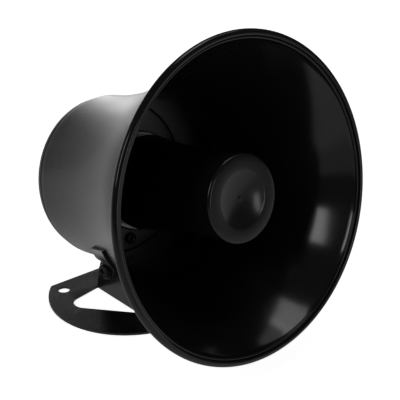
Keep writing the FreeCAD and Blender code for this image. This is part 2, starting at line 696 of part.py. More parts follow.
# Bell
def make_bell():
    """Moulded bell: barrel, flare, double bead at the mouth and the ledge for the back plate."""
    body = turned("bell", [
        ("bell_length", "barrel_radius"),
        ("flare_station", "barrel_radius", "right", "flare_radius"),
        ("lip_depth", "lip_root"),
        ("lip_depth", "mouth_radius - bead_radius", "left", "bead_radius"),
        ("lip_depth - bead_radius", "mouth_radius"),
        ("bead_radius", "mouth_radius", "left", "bead_radius"),
        ("0", "mouth_radius - bead_radius"),
        ("0", "groove_edge", "right", "groove_radius * 1.001"),
        ("0", "groove_inside", "left", "inner_bead"),
        ("inner_bead", "lip_inside"),
        ("2 * inner_bead", "bore_wall + inner_rise", "left", "inner_bend"),
        ("ledge_station", "bore_wall"),
        ("ledge_station", "ledge_radius"),
        ("ledge_back", "ledge_radius"),
        ("ledge_back", "spigot_radius"),
        ("bell_length", "spigot_radius"),
    ])
    return body


def make_rear_cap():
    """Cap with a spigot, bosses for the plate screws and the cable inlet."""
    body = turned("rear_cap", [
        ("bell_length", "cap_radius"),
        ("cap_end - cap_edge", "cap_rim", "right", "cap_edge"),
        ("cap_end", "cap_rim - cap_edge"),
        ("cap_end", "0"),
        ("cap_inside", "0"),
        ("cap_inside", "spigot_inner"),
        ("spigot_front", "spigot_inner"),
        ("spigot_front", "spigot_outer"),
        ("bell_length", "spigot_outer"),
    ])
    tip = "ledge_station + boss_gap"
    root = new_sketch(body, "boss_outline", "XZ_Plane", "-cap_inside")
    ring(root, "0", "-screw_circle", "boss_radius")
    boss = pad(body, "boss", root, f"cap_inside - ({tip})")
    bore = new_sketch(body, "boss_hole", "XZ_Plane", f"-({tip})")
    ring(bore, "0", "-screw_circle", "screw_radius + screw_clear")
    hole = pocket(body, "boss_bore", bore, "screw_long - plate_thick")
    around(body, "bosses", [boss, hole], "screw_count")
    inlet = new_sketch(body, "inlet_outline", "XZ_Plane", "-cap_inside")
    ring(inlet, "0", "-inlet_drop", "inlet_radius")
    pocket(body, "inlet", inlet, "cap_wall")
    return body


def make_cap_seal():
    """Flat rubber ring between the bell's ledge and the cap's spigot."""
    return turned("cap_seal", [
        ("ledge_back", "spigot_inner"),
        ("ledge_back", "spigot_outer"),
        ("spigot_front", "spigot_outer"),
        ("spigot_front", "spigot_inner"),
    ])


def make_back_plate():
    """Plate at the bottom of the bell with the hub that houses the driver."""
    body = turned("back_plate", [
        ("plate_front", "hub_radius"),
        ("plate_front", "plate_radius"),
        ("ledge_station", "plate_radius"),
        ("ledge_station", "hub_bore"),
        ("seat_station", "hub_bore"),
        ("seat_station", "dome_room"),
        ("chamber_front", "dome_room"),
        ("chamber_front", "throat_radius"),
        ("hub_front", "throat_radius"),
        ("hub_front", "hub_radius - hub_edge", "right", "hub_edge"),
        ("hub_front + hub_edge", "hub_radius"),
    ])
    holes = new_sketch(body, "screw_hole", "XZ_Plane", "-plate_front")
    ring(holes, "0", "-screw_circle", "screw_radius + screw_clear")
    hole = pocket(body, "screw_bore", holes, "plate_thick")
    around(body, "screw_bores", [hole], "screw_count")
    across = "clamp_circle * sqrt(0.5)"
    foot = new_sketch(body, "post_outline", "XZ_Plane", "-ledge_station")
    ring(foot, across, across, "clamp_post")
    post = pad(body, "post", foot, "yoke_back - ledge_station", back=True)
    bore = new_sketch(body, "post_hole", "XZ_Plane", "-yoke_back")
    ring(bore, across, across, "clamp_screw + screw_clear")
    sunk = pocket(body, "post_bore", bore, "clamp_bite", back=True)
    around(body, "posts", [post, sunk], "screw_count")
    return body


# Inner horn
def make_throat_tube():
    """Widening tube from the driver's throat into the reflex cup."""
    return turned("throat_tube", [
        ("hub_front", "throat_radius"),
        ("hub_front", "tube_flange"),
        ("flange_front", "tube_flange"),
        ("flange_front", "throat_outside"),
        ("tube_front", "tube_outside"),
        ("tube_front", "tube_mouth"),
        ("flange_front", "throat_radius"),
    ])


def make_reflex_cup():
    """Cup that turns the sound back, with a skirt that widens to the rear."""
    return turned("reflex_cup", [
        ("nose_back", "cup_radius"),
        ("cup_straight", "cup_radius", "left", "skirt_bend"),
        ("skirt_end", "skirt_radius"),
        ("skirt_end", "skirt_inside", "right", "skirt_bend"),
        ("cup_straight", "cup_inside"),
        ("floor_back", "cup_inside"),
        ("floor_back", "0"),
        ("floor_station", "0"),
        ("floor_station", "cup_inside"),
        ("nose_back", "cup_inside"),
    ])


def make_cup_spider():
    """Sleeve on the throat tube with vanes that hold the reflex cup."""
    inner = "{} + glue_line"
    middle = "{} + glue_line + sleeve_wall / 2"
    outer = "{} + glue_line + sleeve_wall"
    ends = ("spider_front", "spider_back")
    front, back = (tube_radius(end) for end in ends)
    body = turned("cup_spider", [
        (ends[0], inner.format(front)),
        (ends[0], outer.format(front)),
        (ends[1], outer.format(back)),
        (ends[1], inner.format(back)),
    ])
    vane = new_sketch(body, "vane_outline", "YZ_Plane")
    outline(vane, [
        (ends[0], middle.format(front)),
        (ends[0], cup_bore(ends[0]) + " - glue_line"),
        (ends[1], cup_bore(ends[1]) + " - 2 * glue_line"),
        (ends[1], middle.format(back)),
    ])
    blade = pad(body, "vane", vane, "vane_thick", symmetric=True)
    around(body, "vanes", [blade], "vane_count")
    return body


def make_nose_cap():
    """Cap on the reflex cup with a round dish in its face."""
    return turned("nose_cap", [
        ("nose_front", "dish_radius"),
        ("nose_front", "nose_radius - nose_edge", "right", "nose_edge"),
        ("nose_front + nose_edge", "nose_radius"),
        ("nose_back", "nose_radius"),
        ("nose_back", "plug_outer"),
        ("floor_station - plug_clear", "plug_outer"),
        ("floor_station - plug_clear", "plug_outer - plug_wall"),
        ("nose_back", "plug_outer - plug_wall"),
        ("nose_back", "0"),
        ("nose_front + dish_depth", "0", "left", "dish_bend"),
    ])


# Driver
def make_driver():
    """Compression driver: surround, dome, coil, gasket, top plate, magnet and yoke."""
    turned("surround", [
        ("seat_station", "surround_inside"),
        ("seat_station", "roll_middle - surround_roll", "left", "roll_bend"),
        ("seat_station", "roll_middle + surround_roll"),
        ("seat_station", "stack_radius"),
        ("gasket_front", "stack_radius"),
        ("gasket_front", "roll_middle + surround_roll", "right", "roll_bend"),
        ("gasket_front", "roll_middle - surround_roll"),
        ("gasket_front", "surround_inside"),
    ])
    turned("diaphragm", [
        ("seat_station - dome_height", "0", "right", "dome_bend"),
        ("seat_station", "dome_base"),
        ("seat_station", "dome_radius"),
        ("gasket_front", "dome_radius"),
        ("gasket_front", "dome_base", "left", "dome_bend"),
        ("gasket_front - dome_height", "0"),
    ])
    rings = (
        ("voice_coil", "gasket_front", "gasket_front + coil_long", "coil_inner", "dome_radius"),
        ("driver_gasket", "gasket_front", "top_front", "dome_room", "stack_radius"),
        ("top_plate", "top_front", "magnet_front", "gap_radius", "stack_radius"),
        ("magnet", "magnet_front", "yoke_front", "magnet_bore", "stack_radius - magnet_inset"),
    )
    for name, front, back, inner, outer in rings:
        turned(name, [(front, inner), (front, outer), (back, outer), (back, inner)])
    turned("pole_yoke", [
        ("top_front", "0"),
        ("top_front", "pole_radius"),
        ("yoke_front", "pole_radius"),
        ("yoke_front", "stack_radius"),
        ("yoke_back", "stack_radius"),
        ("yoke_back", "0"),
    ])


def make_clamp():
    """Ring that presses the driver into the hub, with its screw holes."""
    body = turned("driver_clamp", [
        ("yoke_back", "clamp_bore"),
        ("yoke_back", "clamp_radius"),
        ("clamp_back", "clamp_radius"),
        ("clamp_back", "clamp_bore"),
    ])
    across = "clamp_circle * sqrt(0.5)"
    hole = new_sketch(body, "clamp_hole", "XZ_Plane", "-yoke_back")
    ring(hole, across, across, "clamp_screw + screw_clear")
    cut_hole = pocket(body, "clamp_hole_cut", hole, "clamp_thick")
    around(body, "clamp_holes", [cut_hole], "screw_count")


def make_screws(name, circle, turn, seat, top, tip, shank, head):
    """Ring of round-headed screws parallel to the horn axis."""
    shoulder = f"{seat} + ({top} - ({seat})) * 0.45"
    body = turned_below(name, circle, [
        (top, "0"),
        (tip, "0"),
        (tip, shank),
        (seat, shank),
        (seat, head),
        (shoulder, head),
        (top, f"{head} * 0.55"),
    ], turn)
    body.AllowCompound = True
    around(body, name + "_ring", [body.Tip], "screw_count")
    return body


def make_terminals():
    """Terminal board on the yoke with its two solder tags."""
    board = compound("terminal_board", [block(
        "board_blank", ("board_long", "board_thick", "board_wide"),
        ("-board_long / 2", "yoke_back", "-board_wide / 2"))])
    tags = []
    for word, sense in (("left", "-1"), ("right", "1")):
        middle = f"{sense} * tag_pitch / 2"
        tags.append(block(f"tag_{word}", ("tag_wide", "tag_thick", "tag_long"),
                          (f"{middle} - tag_wide / 2", "yoke_back + board_thick",
                           "-tag_long / 2")))
    return board, compound("terminal_tags", tags)


def make_grommet():
    """Rubber grommet of the cable inlet."""
    rear = "cap_end + grommet_outside"
    front = "cap_inside - grommet_inside"
    neck = "inlet_radius - grommet_clear"
    return turned_below("cable_grommet", "inlet_drop", [
        (front, "grommet_bore"),
        (rear, "grommet_bore"),
        (rear, "grommet_flange * 0.75"),
        ("cap_end", "grommet_flange"),
        ("cap_end", neck),
        ("cap_inside", neck),
        ("cap_inside", "grommet_flange"),
        (front, "grommet_flange * 0.9"),
    ])


# Saddle
def saddle_screw_rods(name, radius, below, long):
    """Rods square to the bell's skin on its lowest line, one at each saddle screw.

    Each starts a distance below the skin, outwards, and runs inwards.
    """
    rods = []
    for number in range(2):
        station = f"(saddle_screw_first + {number} * saddle_screw_pitch)"
        lean = f"asin((flare_station - {station}) / flare_radius)"
        start = ("0", f"{station} + ({below}) * sin({lean})",
                 f"-({skin_radius(station)} + ({below}) * cos({lean}))")
        angle = math.radians(size(lean))
        rods.append(cylinder(f"{name}_{number + 1}", radius, long, start,
                             Vector(0, -math.sin(angle), math.cos(angle))))
    return rods


def make_saddle():
    """Steel saddle formed on the bell's skin, with two legs folded down to the pivot."""
    offset_in = "saddle_seat"
    offset_out = "saddle_seat + saddle_thick"
    front = "saddle_front - leg_tip"
    rear = "saddle_rear + leg_tip"
    bend_in = "flare_radius - (saddle_seat)"
    bend_out = "flare_radius - (saddle_seat + saddle_thick)"
    run = f"(flare_station - ({front}))"

    def skin(offset, bend):
        return f"barrel_radius + ({offset}) + ({bend}) - sqrt(({bend}) ^ 2 - {run} ^ 2)"

    shell = turned("saddle_shell", [
        (rear, "saddle_outer"),
        ("flare_station", "saddle_outer", "right", bend_out),
        (front, skin(offset_out, bend_out)),
        (front, skin(offset_in, bend_in), "left", bend_in),
        ("flare_station", "saddle_inner"),
        (rear, "saddle_inner"),
    ])
    plan = new_body("saddle_plan")
    shape = new_sketch(plan, "saddle_outline", "XY_Plane")
    wide = "mouth_radius"
    outline(shape, [
        (wide, "saddle_front"),
        (wide, "saddle_turn - (mouth_radius - saddle_spread)"
               " * (saddle_rear - saddle_turn) / (saddle_spread - leg_outer)"),
        ("leg_outer", "saddle_rear"),
        ("leg_inner", "saddle_rear"),
        ("leg_inner", "leg_front"),
        ("-leg_inner", "leg_front"),
        ("-leg_inner", "saddle_rear"),
        ("-leg_outer", "saddle_rear"),
        (f"-{wide}", "saddle_turn - (mouth_radius - saddle_spread)"
                     " * (saddle_rear - saddle_turn) / (saddle_spread - leg_outer)"),
        (f"-{wide}", "saddle_front"),
    ])
    pad(plan, "saddle_prism", shape, "mouth_radius", back=True)
    side = new_body("saddle_side")
    below = new_sketch(side, "saddle_profile", "YZ_Plane")
    edge = "-(saddle_top + ({} - saddle_turn) * saddle_climb)"
    outline(below, [
        ("saddle_front", edge.format("saddle_front")),
        ("saddle_front", "-mouth_radius"),
        (rear, "-mouth_radius"),
        (rear, edge.format(rear)),
    ])
    pad(side, "saddle_slice", below, "2 * mouth_radius", symmetric=True)
    pan = doc.addObject("Part::MultiCommon", "saddle_pan")
    pan.Shapes = [shell, plan, side]
    legs = new_body("saddle_legs")
    legs.AllowCompound = True
    leg = new_sketch(legs, "leg_outline", "YZ_Plane", "leg_inner")
    tongue(leg, ("saddle_rear", "-leg_root"), ("leg_front", "-leg_root"),
           ("pivot_station", "-axis_drop"), "leg_tip")
    blade = pad(legs, "leg", leg, "saddle_thick")
    mirror(legs, "both_legs", [blade])
    bore = cylinder("leg_bore", "hole_radius", "4 * ear_outer",
                    ("-2 * ear_outer", "pivot_station", "-axis_drop"), Vector(1, 0, 0))
    holes = saddle_screw_rods("saddle_hole", "saddle_screw_radius + screw_clear",
                              "saddle_seat + 2 * saddle_thick", "3 * saddle_thick")
    saddle = cut("saddle", join("saddle_blank", [pan, legs]), join("saddle_holes", [bore, *holes]))
    under = "saddle_seat + saddle_thick + saddle_seat"
    heads = saddle_screw_rods("saddle_head", "saddle_screw_head",
                              f"{under} + saddle_screw_thick", "saddle_screw_thick")
    shanks = saddle_screw_rods("saddle_shank", "saddle_screw_radius", under,
                               f"{under} + saddle_screw_bite")
    screws = compound("saddle_screws", [
        join(f"saddle_screw_{number + 1}", [heads[number], shanks[number]])
        for number in range(2)])
    return saddle, screws


BRACKET_PIECES = ("base_bracket", "pivot_bolt", "pivot_washers", "pivot_nut")
HORN_PIECES = (
    "bell", "rear_cap", "cap_seal", "back_plate", "plate_screws", "throat_tube", "cup_spider",
    "reflex_cup", "nose_cap", "surround", "diaphragm", "voice_coil", "driver_gasket",
    "top_plate", "magnet", "pole_yoke", "driver_clamp", "clamp_screws", "terminal_board",
    "terminal_tags", "cable_grommet", "saddle", "saddle_screws")


def find(label):
    """Object of the document by its label."""
    return doc.getObjectsByLabel(label)[0]


def check():
    """Stop if a feature failed or a piece has no sound shape."""
    for item in doc.Objects:
        if {"Invalid", "Error"} & set(item.State):
            raise RuntimeError(f"{item.Label} failed: {item.State}")
    for label in BRACKET_PIECES + HORN_PIECES:
        shape = find(label).Shape
        if shape.isNull() or not shape.isValid() or not shape.Solids:
            raise RuntimeError(f"{label} has no sound shape")


def main():
    """Build every piece, carry the horn to its place and write one file for each."""
    make_base_bracket()
    make_pivot()
    shell = make_bell()
    shell.Label = "bell_shell"
    deep = saddle_screw_rods("bell_hole", "saddle_screw_radius + screw_clear", "saddle_seat",
                             "saddle_seat + saddle_screw_bite + screw_clear")
    cut("bell", shell, join("bell_holes", deep))
    make_rear_cap()
    make_cap_seal()
    make_back_plate()
    make_throat_tube()
    make_reflex_cup()
    make_cup_spider()
    make_nose_cap()
    make_driver()
    make_clamp()
    make_screws("plate_screws", "screw_circle", 0.0, "plate_front", "plate_front - head_thick",
                "plate_front + screw_long - screw_clear", "screw_radius", "screw_head")
    make_screws("clamp_screws", "clamp_circle", 45.0, "clamp_back", "clamp_back + clamp_head_thick",
                "yoke_back - clamp_bite + screw_clear", "clamp_screw", "clamp_head")
    make_terminals()
    make_grommet()
    make_saddle()
    doc.recompute()
    for label in HORN_PIECES:
        carry(find(label))
    doc.recompute()
    check()
    os.makedirs(OUT, exist_ok=True)
    for label in BRACKET_PIECES + HORN_PIECES:
        find(label).Shape.exportStep(os.path.join(OUT, label + ".step"))


main()
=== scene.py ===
"""Looks of a small re-entrant horn loudspeaker on a tilting steel foot.

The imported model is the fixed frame. Most visible pieces are modelled again here, close to the
frame's sizes, with round outlines, rounded edges and a finish each. The saddle, its screws, the
vanes of the cup and the driver keep the frame's shapes and only get a finish. Horn pieces are
drawn in the horn's frame (station along the axis from the mouth, radius from the axis) and are
then carried to their place by the tilt. Lengths are in millimetres until a mesh is made.
"""

from __future__ import annotations

import logging
import math
from dataclasses import dataclass
from enum import Enum
from typing import Callable, Sequence

import bpy
from mathutils import Matrix, Vector

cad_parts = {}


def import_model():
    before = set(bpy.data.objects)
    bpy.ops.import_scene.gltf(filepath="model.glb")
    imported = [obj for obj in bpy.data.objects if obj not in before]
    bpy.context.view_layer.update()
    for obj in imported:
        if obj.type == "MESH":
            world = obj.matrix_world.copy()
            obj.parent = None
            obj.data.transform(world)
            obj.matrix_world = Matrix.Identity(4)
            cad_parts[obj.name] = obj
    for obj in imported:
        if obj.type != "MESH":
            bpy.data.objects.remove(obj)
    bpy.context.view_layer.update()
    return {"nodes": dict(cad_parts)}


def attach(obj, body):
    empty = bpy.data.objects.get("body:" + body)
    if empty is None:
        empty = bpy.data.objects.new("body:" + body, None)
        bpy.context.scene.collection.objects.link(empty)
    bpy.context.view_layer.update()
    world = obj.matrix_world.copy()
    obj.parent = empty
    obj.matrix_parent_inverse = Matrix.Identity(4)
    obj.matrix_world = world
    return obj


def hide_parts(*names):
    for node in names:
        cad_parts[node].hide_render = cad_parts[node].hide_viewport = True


MM = 0.001
LOG = logging.getLogger("horn_speaker")

Point = tuple[float, float]
Pair = tuple[float, float]
Triple = tuple[float, float, float]


class Rides(Enum):
    """Bodies of the frame that a piece can move with."""

    BRACKET = "bracket"
    HORN = "horn"


class Round(Enum):
    """Number of steps in a full turn of a lathed piece."""

    LARGE = 192
    MIDDLE = 96
    SMALL = 40


@dataclass(frozen=True)
class Tilt:
    """Place of the horn on its foot.

    Attributes:
        angle: Tilt of the horn axis above the horizontal, in degrees.
        pivot: Pivot behind and above the foot's centre.
        station: Pivot along the horn.
        drop: Pivot below the horn axis.
    """

    angle: float = 10.8
    pivot: Point = (3.1, 13.9)
    station: float = 90.4
    drop: float = 42.0

    def matrix(self) -> Matrix:
        """Return the transform from the horn's frame to the row frame, in metres."""
        turn = Matrix.Rotation(math.radians(-self.angle), 4, "X")
        held = turn @ Vector((0.0, self.station, -self.drop))
        place = Vector((0.0, self.pivot[0], self.pivot[1])) - held
        return Matrix.Translation(place * MM) @ turn


TILT = Tilt()


def arc(centre: Point, radius: float, first: float, last: float, steps: int) -> list[Point]:
    """Points of an arc.

    Args:
        centre: Centre of the arc.
        radius: Radius of the arc.
        first: Angle of the first point, in degrees from the first coordinate's axis.
        last: Angle of the last point.
        steps: Number of runs between the two.

    Returns:
        The points, both ends included.
    """
    angles = (math.radians(first + (last - first) * i / steps) for i in range(steps + 1))
    return [(centre[0] + radius * math.cos(a), centre[1] + radius * math.sin(a))
            for a in angles]


def rounded(outline: Sequence[Point], radius: float | Sequence[float], steps: int = 4
            ) -> list[Point]:
    """Round the corners of a closed outline.

    Args:
        outline: Corners in order.
        radius: One radius, or one for each corner, with 0 for a corner that stays sharp.
        steps: Runs in each rounding.

    Returns:
        The outline with a quadratic curve at each rounded corner.
    """
    radii = [radius] * len(outline) if isinstance(radius, (int, float)) else list(radius)
    points: list[Point] = []
    for index, corner in enumerate(outline):
        here = Vector(corner)
        before = Vector(outline[index - 1]) - here
        after = Vector(outline[(index + 1) % len(outline)]) - here
        reach = min(radii[index], before.length * 0.49, after.length * 0.49)
        if reach <= 0:
            points.append(corner)
            continue
        start = here + before.normalized() * reach
        end = here + after.normalized() * reach
        for step in range(steps + 1):
            share = step / steps
            bend = start * (1 - share) ** 2 + here * 2 * share * (1 - share) + end * share ** 2
            points.append((bend.x, bend.y))
    return points


def touch(foot: Point, centre: Point, radius: float, side: int) -> float:
    """Angle on a circle where the tangent from a foot point meets it.

    Args:
        foot: Point outside the circle.
        centre: Centre of the circle.
        radius: Radius of the circle.
        side: 1 or -1 for the tangent on one side or the other.

    Returns:
        The angle of the touching point, in degrees.
    """
    way = Vector(foot) - Vector(centre)
    open_angle = math.acos(min(1.0, radius / way.length))
    return math.degrees(math.atan2(way.y, way.x) + side * open_angle)


def tongue(first: Point, last: Point, centre: Point, radius: float, steps: int = 24
           ) -> list[Point]:
    """Outline of a tongue with two straight sides tangent to its round tip.

    Walked from the first foot point to the last, the tip lies on the left.

    Args:
        first: First foot point.
        last: Last foot point.
        centre: Centre of the tip.
        radius: Radius of the tip.
        steps: Runs in the tip.

    Returns:
        The outline, counter-clockwise.
    """
    leave = touch(last, centre, radius, 1)
    arrive = touch(first, centre, radius, -1)
    while arrive < leave:
        arrive += 360
    while arrive - leave > 360:
        arrive -= 360
    return [first, last, *arc(centre, radius, leave, arrive, steps)]


def curve(run: float, rise: float) -> Point:
    """Radius and sweep, in degrees, of an arc that leaves a line and rises over a run."""
    bend = (run ** 2 + rise ** 2) / (2 * rise)
    return bend, math.degrees(math.asin(run / bend))


def put(node: bpy.types.Node, values: dict[str, object]) -> None:
    """Set sockets of a node by their names."""
    for name, value in values.items():
        node.inputs[name].default_value = value


class Bench:
    """Modelling steps with operators, as done by hand."""

    @staticmethod
    def clear() -> None:
        """Deselect everything and leave edit mode."""
        if bpy.context.object and bpy.context.object.mode != "OBJECT":
            bpy.ops.object.mode_set(mode="OBJECT")
        bpy.ops.object.select_all(action="DESELECT")

    @staticmethod
    def take(piece: bpy.types.Object) -> None:
        """Make a piece the only selected and the active one."""
        Bench.clear()
        piece.select_set(True)
        bpy.context.view_layer.objects.active = piece

    @staticmethod
    def fix(piece: bpy.types.Object) -> None:
        """Apply a piece's place, turn and scale to its mesh."""
        Bench.take(piece)
        bpy.ops.object.transform_apply(location=True, rotation=True, scale=True)

    @staticmethod
    def drop(piece: bpy.types.Object) -> None:
        """Remove a piece with its mesh."""
        mesh = piece.data
        bpy.data.objects.remove(piece)
        bpy.data.meshes.remove(mesh)

    @staticmethod
    def edit(piece: bpy.types.Object, kind: str = "VERT") -> None:
        """Open a piece in edit mode with everything selected."""
        Bench.take(piece)
        bpy.ops.object.mode_set(mode="EDIT")
        bpy.ops.mesh.select_mode(type=kind)
        bpy.ops.mesh.select_all(action="SELECT")

    @staticmethod
    def trace(name: str, points: Sequence[Vector]) -> bpy.types.Object:
        """Draw a closed line by pulling one vertex from point to point.

        Args:
            name: Name of the piece.
            points: Points of the line, in millimetres.

        Returns:
            A piece that holds the closed line alone.
        """
        Bench.clear()
        bpy.ops.mesh.primitive_plane_add(size=MM, location=points[0] * MM)
        piece = bpy.context.object
        piece.name = name
        piece.data.name = name
        Bench.fix(piece)
        Bench.edit(piece)
        bpy.ops.mesh.merge(type="CENTER")
        for before, after in zip(points, [*points[1:], points[0]]):
            step = (after - before) * MM
            bpy.ops.mesh.extrude_region_move(TRANSFORM_OT_translate={"value": step})
        bpy.ops.mesh.select_all(action="SELECT")
        bpy.ops.mesh.remove_doubles(threshold=1e-6)
        bpy.ops.object.mode_set(mode="OBJECT")
        return piece

    @staticmethod
    def lathe(name: str, section: Sequence[Point], turns: Round, drop: float = 0.0
              ) -> bpy.types.Object:
        """Spin a closed section about a line along the horn.

        Args:
            name: Name of the piece.
            section: Corners of station and radius.
            turns: Number of steps in the turn.
            drop: The line's distance below the horn axis.

        Returns:
            The closed piece, in the horn's frame.
        """
        line = [Vector((0.0, station, radius - drop)) for station, radius in section]
        piece = Bench.trace(name, line)
        Bench.edit(piece)
        bpy.ops.mesh.spin(steps=turns.value, angle=math.tau, center=(0.0, 0.0, -drop * MM),
                          axis=(0.0, 1.0, 0.0), use_auto_merge=True)
        Bench.tidy(piece)
        return piece

    @staticmethod
    def tidy(piece: bpy.types.Object) -> None:
        """Close seams and poles and turn all faces outwards."""
        Bench.edit(piece)
        bpy.ops.mesh.remove_doubles(threshold=2e-6)
        bpy.ops.mesh.dissolve_degenerate(threshold=1e-7)
        bpy.ops.mesh.select_all(action="SELECT")
        bpy.ops.mesh.normals_make_consistent(inside=False)
        bpy.ops.object.mode_set(mode="OBJECT")

    @staticmethod
    def slab(name: str, outline: Sequence[Point], place: Callable[[float, float], Vector],
             depth: Vector) -> bpy.types.Object:
        """Fill an outline and pull it to a plate.

        Args:
            name: Name of the piece.
            outline: Outline in the plate's own two coordinates.
            place: Function that puts a point of the outline in space.
            depth: Thickness of the plate as a vector, in millimetres.

        Returns:
            The closed plate.
        """
        piece = Bench.trace(name, [place(*point) for point in outline])
        Bench.edit(piece, "EDGE")
        bpy.ops.mesh.edge_face_add()
        bpy.ops.mesh.select_all(action="SELECT")
        bpy.ops.mesh.extrude_region_move(TRANSFORM_OT_translate={"value": depth * MM})
        Bench.tidy(piece)
        return piece

    @staticmethod
    def rod(name: str, radius: float, ends: tuple[Vector, Vector], sides: int = 48
            ) -> bpy.types.Object:
        """Add a rod between two points.

        Args:
            name: Name of the piece.
            radius: Radius of the rod.
            ends: Its two ends, in millimetres.
            sides: Number of sides.

        Returns:
            The rod.
        """
        Bench.clear()
        way = ends[1] - ends[0]
        turn = way.to_track_quat("Z", "Y").to_euler()
        bpy.ops.mesh.primitive_cylinder_add(
            vertices=sides, radius=radius * MM, depth=way.length * MM,
            location=(ends[0] + ends[1]) / 2 * MM, rotation=turn)
        piece = bpy.context.object
        piece.name = name
        piece.data.name = name
        Bench.fix(piece)
        return piece

    @staticmethod
    def boolean(piece: bpy.types.Object, tool: bpy.types.Object, operation: str) -> None:
        """Cut, join or keep the common part of a piece and a tool, and remove the tool."""
        Bench.take(piece)
        modifier = piece.modifiers.new(operation.lower(), "BOOLEAN")
        modifier.operation = operation
        modifier.solver = "EXACT"
        modifier.object = tool
        bpy.ops.object.modifier_apply(modifier=modifier.name)
        Bench.drop(tool)

    @staticmethod
    def cross(piece: bpy.types.Object, bar: Point, place: Callable[[float, float], Vector],
              depth: Vector) -> None:
        """Cut a cross recess into the head of a screw or bolt.

        Args:
            piece: Piece to cut.
            bar: Half width and half length of one bar of the cross.
            place: Function that puts a point of the cross in space.
            depth: Thickness of the tool as a vector, in millimetres.
        """
        for wide, tall in (bar, bar[::-1]):
            corners = [(-wide, -tall), (wide, -tall), (wide, tall), (-wide, tall)]
            tool = Bench.slab("recess", corners, place, depth)
            Bench.boolean(piece, tool, "DIFFERENCE")

    @staticmethod
    def bevel(piece: bpy.types.Object, radius: float, steps: int,
              chosen: Callable[[Vector, Vector], bool]) -> None:
        """Round the edges that a test picks.

        Args:
            piece: Piece to work on.
            radius: Width of the rounding.
            steps: Runs in the rounding.
            chosen: Test of an edge's two ends, in millimetres.
        """
        Bench.edit(piece, "EDGE")
        bpy.ops.mesh.select_all(action="DESELECT")
        bpy.ops.object.mode_set(mode="OBJECT")
        mesh = piece.data
        for edge in mesh.edges:
            first, last = (mesh.vertices[i].co / MM for i in edge.vertices)
            edge.select = chosen(first, last)
        bpy.ops.object.mode_set(mode="EDIT")
        bpy.ops.mesh.bevel(offset=radius * MM, segments=steps, affect="EDGES",
                           clamp_overlap=True)
        bpy.ops.object.mode_set(mode="OBJECT")

    @staticmethod
    def soften(piece: bpy.types.Object, width: float, steps: int = 2, angle: float = 30.0
               ) -> None:
        """Round every sharp edge a little with an applied bevel modifier."""
        Bench.take(piece)
        modifier = piece.modifiers.new("soften", "BEVEL")
        modifier.width = width * MM
        modifier.segments = steps
        modifier.limit_method = "ANGLE"
        modifier.angle_limit = math.radians(angle)
        modifier.harden_normals = False
        bpy.ops.object.modifier_apply(modifier=modifier.name)

    @staticmethod
    def carry(piece: bpy.types.Object, matrix: Matrix) -> None:
        """Put a piece in its place and keep that place in its mesh."""
        piece.matrix_world = matrix
        Bench.fix(piece)

    @staticmethod
    def copy(piece: bpy.types.Object, name: str, matrix: Matrix) -> bpy.types.Object:
        """Copy a piece with its own mesh and carry the copy by a matrix."""
        Bench.take(piece)
        bpy.ops.object.duplicate()
        twin = bpy.context.object
        twin.name = name
        twin.data.name = name
        Bench.carry(twin, matrix)
        return twin

    @staticmethod
    def shade(piece: bpy.types.Object, angle: float = 32.0) -> None:
        """Shade a piece smooth and keep its edges above an angle sharp."""
        Bench.take(piece)
        bpy.ops.object.shade_smooth_by_angle(angle=math.radians(angle))


